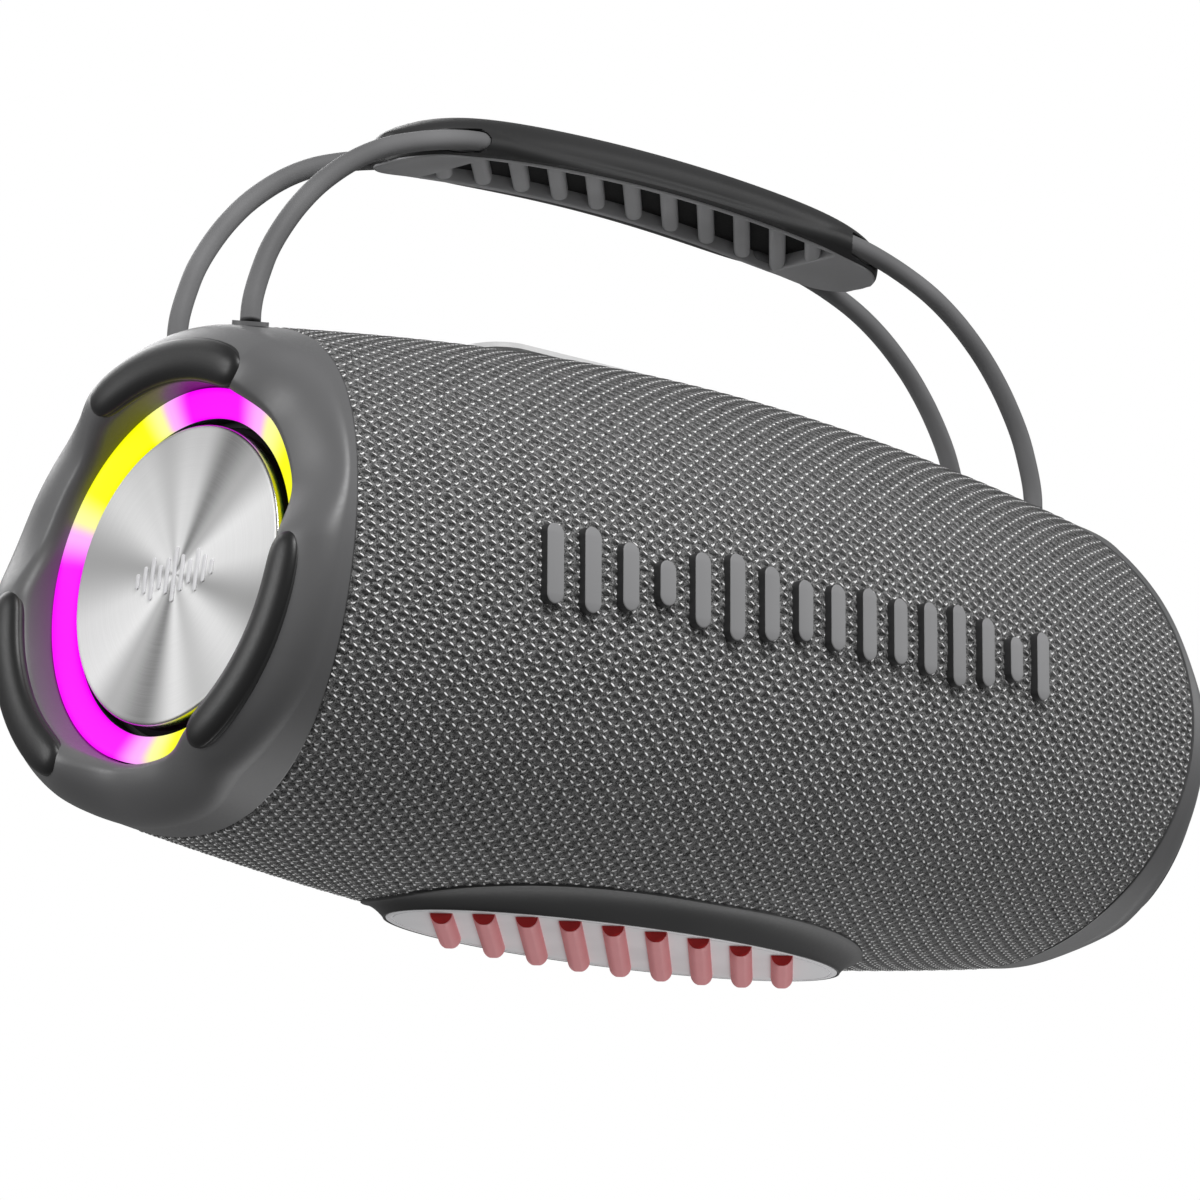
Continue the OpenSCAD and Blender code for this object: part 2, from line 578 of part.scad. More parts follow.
// Half width of the grip at x
function grip_half(x) = grip_w / 2 * pow(max(0.02, 1 - pow(abs(2 * x / grip_len), 7)), 0.42);
grip_crown = 174.5;
function grip_top(x) = grip_crown - 5.5 * pow(2 * x / grip_len, 2) - 6 * pow(abs(2 * x / grip_len), 8);
grip_base = tray_z + tray_t + core_t + 0.2;
function grip_ring(x) = let (w = grip_half(x), h = grip_top(x) - grip_base) [
    for (a = [0 : 22.5 : 180]) [x, w * spow(cos(a), 0.8), grip_base + h * spow(sin(a), 0.75)]
];
module handle_grip() color([0.22, 0.22, 0.23]) at_axis()
    ring_loft([for (i = [0 : 28]) grip_ring(-grip_len / 2 * cos(i * 180 / 28))]);
module handle_tray() color([0.42, 0.42, 0.43]) at_axis() translate([0, 0, tray_z]) difference() {
    linear_extrude(tray_t) polygon([
        for (i = [0 : 59])
            let (x = -grip_len / 2 * cos(i * 6), w = grip_half(x) * (i < 30 ? 1 : -1))
            [x, w]
    ]);
    translate([0, 0, -1]) linear_extrude(tray_t - 0.8) intersection() {
        square([field_len, field_w], center = true);
        for (k = [-6 : 5]) polygon([for (p = [[-1, -1], [1, -1], [1, 1], [-1, 1]])
            let (half = (fin_pitch - fin_w * sqrt(2)) / 2)
            [(k + 0.5) * fin_pitch + half * p[0] + field_w * p[1], field_w * p[1]]]);
    }
}
module handle_core() color([0.65, 0.65, 0.67]) at_axis()
    translate([0, 0, tray_z + tray_t + 0.1]) round_plate(176, 24, core_t, 8);

front_cabinet();
rear_cabinet();
grille_sleeve();
badge();
end_cap_left();
end_cap_right();
bumper_left_top();
bumper_left_front();
bumper_left_rear();
bumper_right_top();
bumper_right_front();
bumper_right_rear();
light_diffuser_left();
light_diffuser_right();
light_board_left();
light_board_right();
radiator_frame_left();
radiator_frame_right();
radiator_surround_left();
radiator_surround_right();
radiator_disc_left();
radiator_disc_right();
radiator_hub_left();
radiator_hub_right();
woofer_basket_left();
woofer_basket_right();
woofer_magnet_left();
woofer_magnet_right();
woofer_cone_left();
woofer_cone_right();
woofer_surround_left();
woofer_surround_right();
woofer_screws();
tweeter();
battery_pack();
main_board();
amp_heatsink();
control_panel();
button_1();
button_2();
button_3();
button_4();
button_5();
button_6();
button_board();
port_panel();
port_door();
socket_block();
foot_housing();
foot_plate();
foot_ribs();
cord_grommets();
cord_anchors();
handle_cord_left_front();
handle_cord_left_rear();
handle_cord_right_front();
handle_cord_right_rear();
handle_grip();
handle_tray();
handle_core();
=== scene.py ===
"""Party speaker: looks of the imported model. Sizes follow the CAD, but the grip's underside is arched."""
import math

import bmesh
import bpy
import numpy as np
from mathutils import Matrix, Vector
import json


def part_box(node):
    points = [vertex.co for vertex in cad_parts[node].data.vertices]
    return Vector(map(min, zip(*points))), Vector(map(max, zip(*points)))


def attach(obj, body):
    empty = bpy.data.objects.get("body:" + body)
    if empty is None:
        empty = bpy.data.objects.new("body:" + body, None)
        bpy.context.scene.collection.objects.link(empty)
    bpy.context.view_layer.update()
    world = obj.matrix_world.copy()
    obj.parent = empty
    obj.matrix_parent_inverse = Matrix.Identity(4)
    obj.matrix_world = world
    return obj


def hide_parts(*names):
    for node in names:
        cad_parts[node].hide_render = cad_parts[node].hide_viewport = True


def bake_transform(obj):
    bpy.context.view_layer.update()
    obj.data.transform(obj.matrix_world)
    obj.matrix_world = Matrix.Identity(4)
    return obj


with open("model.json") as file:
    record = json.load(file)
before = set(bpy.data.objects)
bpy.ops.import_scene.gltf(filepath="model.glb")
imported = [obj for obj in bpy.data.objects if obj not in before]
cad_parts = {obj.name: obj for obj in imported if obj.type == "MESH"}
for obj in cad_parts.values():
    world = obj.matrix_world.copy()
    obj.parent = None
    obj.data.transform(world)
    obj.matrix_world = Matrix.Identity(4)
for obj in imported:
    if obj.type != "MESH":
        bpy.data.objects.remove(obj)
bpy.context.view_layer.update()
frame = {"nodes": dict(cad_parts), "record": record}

MM = 0.001
SIDES = {"left": -1, "right": 1}

# ---------- sizes in millimetres, with the barrel's axis as origin ----------
# Read from the frame where a node's box gives them, else the CAD's own values


def node_box(name):
    """A CAD node's lowest and highest corner in millimetres."""
    low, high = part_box(name)
    return np.array(low) / MM, np.array(high) / MM


def centre_of(name):
    low, high = node_box(name)
    return (low + high) / 2


# The barrel's depth over its height, its radius in the middle, and how that falls towards the ends
SQUASH = 1.055
AXIS_Z = centre_of("woofer_cone_left")[2]
BARREL_R = node_box("grille_sleeve")[1][1] / SQUASH
SAG, EASE = 0.0481, 0.0018
# The caps' seams wave round the barrel, and the end faces lean back
SEAM_MID, SEAM_WAVE, SEAM_LEAN = 182.4, 8.4, 5.2
LEAN = math.radians(5.8)
# The light ring's plane, radii and dish
LED_X, LED_R, LED_INNER_R, LED_DISH = 193.0, 60.4, 51.4, 3.0
# The rim stands out further under the bumpers than in the saddles between them
PAD_H, SADDLE_H = 13.0, 5.5
PAD_RIM_R, SADDLE_RIM_R = 66, 64.3
DISC_R, DISC_FACE, DISC_T = 48.5, -0.5, 3.5
# Bumpers: their middles and half length in degrees, then half width and rise
BUMPERS = {"top": 90, "front": 210, "rear": 330}
BUMPER_HALF_ANGLE = 32
BUMPER_HALF_W, BUMPER_RISE = 6.6, 3.4
CORD_D, CORD_Y = 6.6, 18.0
FOOT_LEN, FOOT_W = 192.0, 76.0
RIB_H, RIB_R, RIB_PITCH = 3.5, 3.7, 19.2
PLATE_Z = -AXIS_Z + RIB_H
GRIP_LEN, GRIP_W = 222.0, 44.0


def place(points):
    """Millimetres over the barrel's axis to metres in the row frame."""
    p = np.asarray(points, float)
    return (p + np.array([0, 0, AXIS_Z])) * MM


# ---------- camera ----------
YAW, PITCH, ROLL = math.radians(43.13), math.radians(11.67), math.radians(1.23)
CAMERA_DISTANCE = 2051.0
CAMERA_LENS = 185.26
CAMERA_RIGHT, CAMERA_UP = -7.5, 21.6


def make_camera():
    look = Vector((math.sin(YAW) * math.cos(PITCH), math.cos(YAW) * math.cos(PITCH), math.sin(PITCH)))
    right = Vector((math.cos(YAW), -math.sin(YAW), 0))
    up = right.cross(look)
    right, up = (
        right * math.cos(ROLL) + up * math.sin(ROLL),
        up * math.cos(ROLL) - right * math.sin(ROLL),
    )
    spot = right * CAMERA_RIGHT + up * CAMERA_UP - look * CAMERA_DISTANCE
    data = bpy.data.cameras.new("camera")
    data.sensor_width, data.lens = 36.0, CAMERA_LENS
    data.clip_start, data.clip_end = 0.1, 50.0
    camera = bpy.data.objects.new("camera", data)
    bpy.context.scene.collection.objects.link(camera)
    turn = Matrix((right, up, -look)).transposed()
    camera.matrix_world = Matrix.Translation(Vector(place(spot))) @ turn.to_4x4()
    bpy.context.scene.camera = camera


make_camera()

# ---------- mesh helpers ----------


def new_object(name, verts, faces, smooth=True):
    mesh = bpy.data.meshes.new(name)
    mesh.from_pydata([tuple(v) for v in verts], [], [tuple(f) for f in faces])
    mesh.validate()
    mesh.update()
    if smooth:
        mesh.shade_smooth()
    obj = bpy.data.objects.new(name, mesh)
    bpy.context.scene.collection.objects.link(obj)
    return obj


def grid_faces(m, n, close_m=False, close_n=False):
    """Quads of an m by n grid of points, row by row."""
    i = np.arange(m if close_m else m - 1)
    j = np.arange(n if close_n else n - 1)
    i, j = (a.ravel() for a in np.meshgrid(i, j, indexing="ij"))
    a, b = i * n + j, ((i + 1) % m) * n + j
    c, d = ((i + 1) % m) * n + (j + 1) % n, i * n + (j + 1) % n
    return np.column_stack([a, b, c, d])


def loft(name, rings, loop=False, smooth=True):
    """A closed tube of rings of points in millimetres; its ends are capped unless it loops."""
    rings = np.asarray(rings, float)
    m, n = rings.shape[:2]
    faces = grid_faces(m, n, close_m=loop, close_n=True).tolist()
    if not loop:
        faces += [list(range(n))[::-1], [(m - 1) * n + k for k in range(n)]]
    obj = new_object(name, place(rings.reshape(-1, 3)), faces, smooth)
    fix_normals(obj)
    return obj


def fix_normals(obj):
    bm = bmesh.new()
    bm.from_mesh(obj.data)
    bmesh.ops.recalc_face_normals(bm, faces=bm.faces)
    bm.to_mesh(obj.data)
    bm.free()


def sharpen(obj, degrees=35):
    """Smooth shading that keeps edges over this angle crisp."""
    bm = bmesh.new()
    bm.from_mesh(obj.data)
    for e in bm.edges:
        e.smooth = len(e.link_faces) == 2 and e.calc_face_angle() < math.radians(degrees)
    bm.to_mesh(obj.data)
    bm.free()


def fillet(points, radius, steps=4):
    """A closed outline of (a, b) points with every corner rounded."""
    out, n = [], len(points)
    for k in range(n):
        p, q, r = (np.array(points[(k + d) % n], float) for d in (-1, 0, 1))
        u, w = p - q, r - q
        lu, lw = np.linalg.norm(u), np.linalg.norm(w)
        cut = min(radius, 0.45 * lu, 0.45 * lw)
        a, b = q + u / lu * cut, q + w / lw * cut
        for s in np.linspace(0, 1, steps + 1):
            out.append((1 - s) ** 2 * a + 2 * s * (1 - s) * q + s * s * b)
    return np.array(out)


def rectangle(length, width, radius):
    """Outline of a rectangle about the origin, with round corners."""
    a, b = length / 2, width / 2
    return fillet([(-a, -b), (a, -b), (a, b), (-a, b)], radius)


def capsule(x, y, half_w, half_h, steps=10):
    """Outline of an upright bar with round ends."""
    t = np.linspace(0, math.pi, steps)
    top = [(x + half_w * math.cos(a), y + half_h - half_w + half_w * math.sin(a)) for a in t]
    low = [(x - half_w * math.cos(a), y - half_h + half_w - half_w * math.sin(a)) for a in t]
    return np.array(top + low)


def bar_outline(start, end, half_w, steps=10):
    """A bar with round ends between two points."""
    start, end = np.array(start, float), np.array(end, float)
    turn = math.atan2(*(end - start)[::-1])
    out = []
    for centre, first in ((end, turn - math.pi / 2), (start, turn + math.pi / 2)):
        for q in first + np.linspace(0, math.pi, steps):
            out.append(centre + half_w * np.array([math.cos(q), math.sin(q)]))
    return np.array(out)


def flat_shape(name, outlines, half, bevel, bevel_steps=3):
    """A plate with holes: 2-D outlines in millimetres, extruded both ways with round edges."""
    curve = bpy.data.curves.new(name, "CURVE")
    curve.dimensions, curve.fill_mode = "2D", "BOTH"
    curve.extrude, curve.bevel_depth, curve.bevel_resolution = half - bevel, bevel, bevel_steps
    curve.offset = -bevel
    for outline in outlines:
        spline = curve.splines.new("POLY")
        spline.points.add(len(outline) - 1)
        for point, (x, y) in zip(spline.points, outline):
            point.co = (x, y, 0, 1)
        spline.use_cyclic_u = True
    holder = bpy.data.objects.new(name + "_curve", curve)
    bpy.context.scene.collection.objects.link(holder)
    bpy.context.view_layer.update()
    mesh = bpy.data.meshes.new_from_object(holder.evaluated_get(bpy.context.evaluated_depsgraph_get()))
    bpy.data.objects.remove(holder)
    bm = bmesh.new()
    bm.from_mesh(mesh)
    bmesh.ops.remove_doubles(bm, verts=bm.verts, dist=0.0005)
    bm.to_mesh(mesh)
    bm.free()
    mesh.name = name
    mesh.materials.clear()
    mesh.shade_smooth()
    obj = bpy.data.objects.new(name, mesh)
    bpy.context.scene.collection.objects.link(obj)
    return obj


def split_long(obj, length):
    """Cuts a flat shape across X every so many millimetres, so that it can bend."""
    bm = bmesh.new()
    bm.from_mesh(obj.data)
    lows = [v.co.x for v in bm.verts]
    for x in np.arange(min(lows) + length, max(lows), length):
        geom = bm.verts[:] + bm.edges[:] + bm.faces[:]
        bmesh.ops.bisect_plane(bm, geom=geom, plane_co=(x, 0, 0), plane_no=(1, 0, 0))
    bm.to_mesh(obj.data)
    bm.free()


def move_points(obj, rule):
    """Runs a rule on every point, given and returned as an array of millimetres."""
    co = np.zeros(len(obj.data.vertices) * 3)
    obj.data.vertices.foreach_get("co", co)
    obj.data.vertices.foreach_set("co", place(rule(co.reshape(-1, 3))).ravel())
    obj.data.update()


def finish_piece(obj, body, slot, material, *nodes):
    obj.data.materials.append(material)
    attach(obj, body)
    if nodes:
        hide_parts(*nodes)
    return obj


# ---------- profiles shared with the CAD ----------


def barrel(x):
    return BARREL_R * (1 - SAG * (x / BARREL_R) ** 2 + EASE * (x / BARREL_R) ** 4)


def seam_x(t):
    return SEAM_MID + SEAM_WAVE * np.cos(2 * t) - SEAM_LEAN * np.sin(t)


def mix(a, b, f):
    return a + (b - a) * f


def smooth(f):
    g = np.clip(f, 0, 1)
    return g * g * (3 - 2 * g)


def pad_share(t):
    """1 under a bumper and 0 in the saddles between them, at angles t round the rim."""
    return smooth(np.cos(3 * (t - math.pi / 2)) + 0.95)


def rim_r(t):
    return mix(SADDLE_RIM_R, PAD_RIM_R, pad_share(t))


def led_plane_x(r, t):
    return LED_X - math.tan(LEAN) * r * np.sin(t)


def rim_x(t):
    return led_plane_x(rim_r(t), t) + mix(SADDLE_H, PAD_H, pad_share(t))


def ring_of(x, y, z):
    """A ring's points, where x, y or z may be one number for the whole ring."""
    return np.stack(np.broadcast_arrays(x, y, z), axis=-1)


def oval(x, r, t, squash):
    return ring_of(x, squash * r * np.cos(t), r * np.sin(t))


def signed_power(v, e):
    return np.sign(v) * np.abs(v) ** e


def super_point(a, b, t, e):
    return a * signed_power(np.cos(t), e), b * signed_power(np.sin(t), e)


def fabric_z(x, y, gap):
    """Height of the barrel's underside at (x, y), a gap below its surface."""
    r = barrel(x)
    return -np.sqrt(np.clip(1 - (y / (SQUASH * r)) ** 2, 0, 1)) * r - gap


def end_place(side, points):
    """From an end face's own frame, +X out of the light ring's plane, to the barrel's axes."""
    p = np.asarray(points, float)
    x = p[..., 0] * math.cos(LEAN) - p[..., 2] * math.sin(LEAN) + LED_X
    z = p[..., 0] * math.sin(LEAN) + p[..., 2] * math.cos(LEAN)
    return np.stack([side * x, p[..., 1], z], axis=-1)


def turned(name, side, profile, steps=192):
    """A ring or disc turned about an end face's axis, from (radius, distance out) points."""
    t = np.linspace(0, 2 * math.pi, steps, endpoint=False)[:, None]
    r, out = np.array(profile, float).T
    points = np.stack([np.broadcast_to(out, (steps, len(out))), r * np.cos(t), r * np.sin(t)], axis=-1)
    return loft(name, end_place(side, points), loop=True)


# ---------- materials ----------


class Nodes:
    """A material's node tree with short ways to add and join nodes."""

    def __init__(self, name):
        self.material = bpy.data.materials.new(name)
        self.material.use_nodes = True
        self.tree = self.material.node_tree
        self.shader = self.tree.nodes["Principled BSDF"]

    def add(self, kind, **settings):
        node = self.tree.nodes.new(kind)
        for key, value in settings.items():
            setattr(node, key, value)
        return node

    def join(self, source, target):
        self.tree.links.new(source, target)

    def put(self, socket, value):
        if isinstance(value, bpy.types.NodeSocket):
            self.join(value, socket)
        else:
            socket.default_value = value

    def math(self, operation, a, b=0.0, c=0.0):
        node = self.add("ShaderNodeMath", operation=operation)
        for socket, value in zip(node.inputs, (a, b, c)):
            self.put(socket, value)
        return node.outputs[0]

    def ramp(self, value, low, high, to_low=0.0, to_high=1.0, kind="SMOOTHSTEP"):
        node = self.add("ShaderNodeMapRange", interpolation_type=kind)
        for socket, v in zip(node.inputs, (value, low, high, to_low, to_high)):
            self.put(socket, v)
        return node.outputs[0]

    def colour(self, factor, a, b):
        node = self.add("ShaderNodeMix", data_type="RGBA")
        self.put(node.inputs[0], factor)
        for socket, value in zip(node.inputs[6:8], (a, b)):
            self.put(socket, value if isinstance(value, bpy.types.NodeSocket) else (*value, 1))
        return node.outputs[2]

    def place(self):
        return self.add("ShaderNodeTexCoord").outputs["Object"]

    def axes(self, vector=None):
        node = self.add("ShaderNodeSeparateXYZ")
        self.put(node.inputs[0], vector or self.place())
        return node.outputs

    def noise(self, scale, detail=3.0, rough=0.6, vector=None):
        node = self.add("ShaderNodeTexNoise")
        self.put(node.inputs["Vector"], vector or self.place())
        node.inputs["Scale"].default_value = scale
        node.inputs["Detail"].default_value = detail
        node.inputs["Roughness"].default_value = rough
        return node.outputs["Fac"]

    def bump(self, height, distance, strength=1.0):
        node = self.add("ShaderNodeBump")
        node.inputs["Strength"].default_value = strength
        node.inputs["Distance"].default_value = distance
        self.put(node.inputs["Height"], height)
        self.join(node.outputs[0], self.shader.inputs["Normal"])

    def set(self, **values):
        for key, value in values.items():
            self.put(self.shader.inputs[key.replace("_", " ")], value)


def grey(v, tint=0.0):
    return (v, v, v * (1 + tint))


def moulded(name, base, rough, grain=900.0, depth=0.00003, spread=0.12, specular=0.5, tint=0.02):
    """Moulded plastic or rubber: a fine grain, slight shade and gloss changes."""
    m = Nodes(name)
    cloud = m.noise(18, 2)
    fine = m.noise(grain, 3)
    shade = m.ramp(cloud, 0.3, 0.7, 0.0, 1.0)
    colour = m.colour(shade, grey(base * (1 - spread), tint), grey(base * (1 + spread), tint))
    m.set(
        Base_Color=colour,
        Roughness=m.ramp(fine, 0.3, 0.7, rough - 0.04, rough + 0.04, "LINEAR"),
        Specular_IOR_Level=specular,
    )
    m.bump(fine, depth, 0.6)
    return m.material


def tinted(name, low, high, rough, grain=700.0, depth=0.00003, metallic=0.0, coat=0.0):
    """A coloured surface between two shades, with a fine grain."""
    m = Nodes(name)
    fine = m.noise(grain, 3)
    m.set(
        Base_Color=m.colour(m.noise(30, 2), low, high),
        Roughness=m.ramp(fine, 0.3, 0.7, rough - 0.03, rough + 0.05, "LINEAR"),
        Metallic=metallic,
        Coat_Weight=coat,
    )
    m.bump(fine, depth, 0.5)
    return m.material


# Cells of the weave: length along the barrel, height round it, and how many go round
CELL_X, CELL_Y, CELLS_ROUND = 3.67, 2.56, 240


def weave_height(u, v):
    """Relief of the weave from 0 to 1 at cell coordinates u along and v round the barrel."""
    a, b = u - np.floor(u) - 0.5, v - np.floor(v) - 0.5
    over = (np.floor(u) + np.floor(v)) % 2 < 1
    turn = np.radians(np.where(over, 14, -30))
    across, down = CELL_X * a, CELL_Y * b
    p, q = across * np.cos(turn) + down * np.sin(turn), down * np.cos(turn) - across * np.sin(turn)
    long_r, short_r = np.where(over, 2.0, 1.3), np.where(over, 1.2, 0.9)
    return np.clip(1 - (p / long_r) ** 2 - (q / short_r) ** 2, 0, 1) * np.where(over, 1.0, 0.7)


def weave_material():
    """Grille cloth: dark twisted yarn, one knuckle to a cell, with painted highlight streaks on the knuckles.
    """
    m = Nodes("grille_cloth")
    x, y, z = m.axes()
    height = m.math("SUBTRACT", z, AXIS_Z * MM)
    angle = m.math("ARCTAN2", height, m.math("DIVIDE", y, SQUASH))
    u = m.math("MULTIPLY", x, 1 / (CELL_X * MM))
    v = m.math("MULTIPLY", angle, CELLS_ROUND / (2 * math.pi))
    fu, fv = m.math("FLOOR", u), m.math("FLOOR", v)
    a = m.math("SUBTRACT", m.math("SUBTRACT", u, fu), 0.5)
    b = m.math("SUBTRACT", m.math("SUBTRACT", v, fv), 0.5)
    over = m.math("LESS_THAN", m.math("FLOORED_MODULO", m.math("ADD", fu, fv), 2.0), 0.5)

    def square(value, size):
        scaled = m.math("DIVIDE", value, size)
        return m.math("MULTIPLY", scaled, scaled)

    def blob(p, q, long_r, short_r):
        inside = m.math("SUBTRACT", m.math("SUBTRACT", 1.0, square(p, long_r)), square(q, short_r))
        return m.math("MAXIMUM", inside, 0.0)

    def mark(a0, b0, degrees, half_len, half_w):
        """A lens-shaped mark, in millimetres from a cell's middle; on the front b runs down."""
        across = m.math("MULTIPLY", m.math("SUBTRACT", a, a0), CELL_X)
        down = m.math("MULTIPLY", m.math("SUBTRACT", b, b0), CELL_Y)
        c, d = math.cos(math.radians(degrees)), math.sin(math.radians(degrees))
        p = m.math("ADD", m.math("MULTIPLY", across, c), m.math("MULTIPLY", down, d))
        q = m.math("SUBTRACT", m.math("MULTIPLY", down, c), m.math("MULTIPLY", across, d))
        return blob(p, q, half_len, half_w)

    def either(first, second):
        """The first value in the cells where the yarn lies over, the second in the others."""
        other = m.math("SUBTRACT", 1.0, over)
        return m.math("ADD", m.math("MULTIPLY", over, first), m.math("MULTIPLY", other, second))

    knuckle = mark(-0.04, 0.04, 14, 2.0, 1.15)
    relief = either(knuckle, m.math("MULTIPLY", mark(0.0, 0.0, -30, 1.3, 0.8), 0.7))
    # painted highlights: light lens-shaped streaks on each knuckle, painted into the colour as light catching
    # the yarn
    over_highlight = mark(0.19, -0.15, 29, 1.15, 0.36)
    long_highlight = mark(0.03, 0.0, -43, 1.0, 0.32)
    short_highlight = mark(-0.13, 0.04, 40, 0.45, 0.24)
    painted_highlight = either(over_highlight, m.math("MAXIMUM", long_highlight, short_highlight))
    fibre, speck = m.noise(2300, 2, 0.75), m.noise(900, 2, 0.7)
    painted_highlight = m.math("MULTIPLY", painted_highlight, m.ramp(fibre, 0.3, 0.6, 0.55, 1.1, "LINEAR"))
    dark = either(m.ramp(knuckle, 0.05, 0.8, 0.0, 0.72), 0.0)
    yarn = m.math("ADD", m.math("MULTIPLY", fibre, 0.6), m.math("MULTIPLY", speck, 0.4))
    ground = m.colour(m.ramp(yarn, 0.4, 0.6), grey(0.006), grey(0.26))
    base = m.colour(dark, ground, grey(0.018))
    m.set(
        # the painted highlights lighten the colour to near white
        Base_Color=m.colour(m.ramp(painted_highlight, 0.04, 0.5), base, grey(0.95)),
        Roughness=m.ramp(relief, 0.0, 1.0, 0.8, 0.45, "LINEAR"),
        Specular_IOR_Level=0.4,
    )
    m.bump(m.math("ADD", relief, m.math("MULTIPLY", fibre, 0.25)), 0.0005, 0.8)
    return m.material


def ring_angle(m):
    """Turns clockwise from the top as seen from outside, from 0 to 1."""
    _, y, z = m.axes()
    turn = m.math("ARCTAN2", m.math("MULTIPLY", y, -1.0), m.math("SUBTRACT", z, AXIS_Z * MM))
    turn = m.math("DIVIDE", turn, 2 * math.pi)
    return m.math("FLOORED_MODULO", turn, 1.0)


def stops(m, factor, entries):
    """A colour ramp round the ring, from (degrees, colour) entries."""
    node = m.add("ShaderNodeValToRGB")
    ramp = node.color_ramp
    ramp.interpolation = "EASE"
    ramp.elements[0].color = ramp.elements[1].color = (*entries[0][1], 1)
    # each element is made at its own place and coloured at once, since adding one reorders the rest
    for degrees, colour in entries[1:]:
        ramp.elements.new(degrees / 360).color = (*colour, 1)
    m.put(node.inputs[0], factor)
    return node.outputs[0]


MAGENTA, YELLOW, BLUSH, CREAM = (1, 0, 1), (1, 1, 0), (1, 0.45, 1), (1, 1, 0.35)


def led_material():
    m = Nodes("light_ring_glow")
    glow = stops(m, ring_angle(m), [
        (0, MAGENTA), (22, MAGENTA), (36, BLUSH), (42, CREAM), (58, YELLOW), (170, YELLOW),
        (180, CREAM), (187, BLUSH), (200, MAGENTA), (280, MAGENTA), (291, BLUSH), (296, CREAM),
        (306, YELLOW), (334, YELLOW), (343, CREAM), (347, BLUSH), (357, MAGENTA),
    ])
    m.set(Base_Color=(0.02, 0.02, 0.02, 1), Roughness=0.5, Specular_IOR_Level=0.1)
    m.put(m.shader.inputs["Emission Color"], glow)
    m.shader.inputs["Emission Strength"].default_value = 1.0
    return m.material


# how much the painted reflection's wedges are lightened
REFLECTION_GAIN = 1.08
# Noise cells to a metre, across the brushed circles and along them
HAIR_ACROSS, HAIR_ALONG = 4500.0, 12.0


def hair_vector(m):
    """Coordinates in which a noise becomes fine circles round the barrel's axis."""
    _, y, z = m.axes()
    up = m.math("SUBTRACT", z, AXIS_Z * MM)
    radius = m.math("SQRT", m.math("ADD", m.math("MULTIPLY", y, y), m.math("MULTIPLY", up, up)))
    node = m.add("ShaderNodeCombineXYZ")
    m.put(node.inputs[0], m.math("MULTIPLY", radius, HAIR_ACROSS))
    m.put(node.inputs[1], m.math("MULTIPLY", y, HAIR_ALONG))
    m.put(node.inputs[2], m.math("MULTIPLY", up, HAIR_ALONG))
    return node.outputs[0]


def disc_material():
    """Radially brushed metal: a painted reflection of light and dark wedges round the axis, hair-fine lines
    round the axis.
    """
    m = Nodes("brushed_disc")
    turn = ring_angle(m)
    # painted reflection: each wedge's shade, from dark to white, stands in for the brushed metal's sheen
    rays = (
        (0, 0.74), (10, 0.7), (28, 0.16), (46, 0.42), (68, 1.0), (86, 1.0),
        (110, 0.42), (130, 1.0), (156, 0.58), (170, 0.8), (190, 0.17), (212, 0.45),
        (232, 1.0), (254, 1.0), (284, 0.46), (312, 1.0), (330, 0.8), (346, 0.58),
    )
    shade = stops(m, turn, [(degrees, grey(min(1.0, v * REFLECTION_GAIN))) for degrees, v in rays])
    hair = m.noise(1.0, 4, 0.7, hair_vector(m))
    m.set(
        Base_Color=m.colour(m.ramp(hair, 0.35, 0.65, 0.0, 0.12), shade, grey(0.55)),
        Metallic=0.1,
        Roughness=0.36,
        Specular_IOR_Level=0.6,
        Anisotropic=0.7,
    )
    tangent = m.add("ShaderNodeTangent", direction_type="RADIAL", axis="X")
    m.join(tangent.outputs[0], m.shader.inputs["Tangent"])
    m.bump(hair, 0.00002, 0.4)
    return m.material


CLOTH = weave_material()
LED = led_material()
DISC = disc_material()
CAP = moulded("cap_plastic", 0.125, 0.42, specular=0.5, spread=0.05)
BUMPER = moulded("bumper_rubber", 0.016, 0.4, grain=1100, specular=0.4)
GRIP = moulded("grip_rubber", 0.024, 0.46, grain=1000, specular=0.35)
TRAY = moulded("tray_rubber", 0.45, 0.6, grain=900, specular=0.3)
POCKET = moulded("pocket_rubber", 0.012, 0.7, specular=0.2)
CORD = moulded("cord_jacket", 0.15, 0.62, grain=1600, depth=0.00008, spread=0.2, specular=0.35)
GROMMET = moulded("grommet_rubber", 0.14, 0.5)
BADGE_FACE = moulded("badge_face", 0.25, 0.55, specular=0.4, spread=0.04)
# the bars' sides are painted far darker than their faces, as painted shade on walls that face away from the
# light
BADGE_SIDE_SHADE = moulded("badge_side_shade", 0.035, 0.5, specular=0.4)
HOUSING = moulded("housing_plastic", 0.05, 0.5, specular=0.45)
PLATE = moulded("plate_rubber", 0.9, 0.6, grain=800, spread=0.06)
# the bars' sides: red rubber lightened to pink as painted light from below; their ends: dark red as painted
# shade
RIB_BODY = tinted("rib_rubber", (0.88, 0.3, 0.32), (0.95, 0.36, 0.38), 0.5)
RIB_END_SHADE = tinted("rib_end_shade", (0.5, 0.004, 0.006), (0.58, 0.01, 0.012), 0.45)
BLACK = moulded("surround_rubber", 0.02, 0.55)
CORE = tinted("core_steel", grey(0.5), grey(0.58), 0.35, metallic=1.0)
MARK = moulded("mark_enamel", 0.8, 0.4, spread=0.02, specular=0.3)
DISC_EDGE = tinted("disc_edge", (0.5, 0.5, 0.51), (0.6, 0.6, 0.61), 0.22, metallic=1.0)

# ---------- handle cords ----------
# The route on the +X side: x and z over the axis, as in the CAD
CORD_ROUTE = [
    (180.3, 80.6), (180.1, 84.5), (179.2, 89.5), (177, 96.5), (173.5, 105), (168, 114), (161, 123),
    (152, 132), (140, 141), (127, 148), (113, 153), (99, 156.6), (88, 158.4), (76, 159.4),
]
# Points round each cord, and rings in its round end
CORD_SIDES, CORD_TIP_STEPS = 28, 7


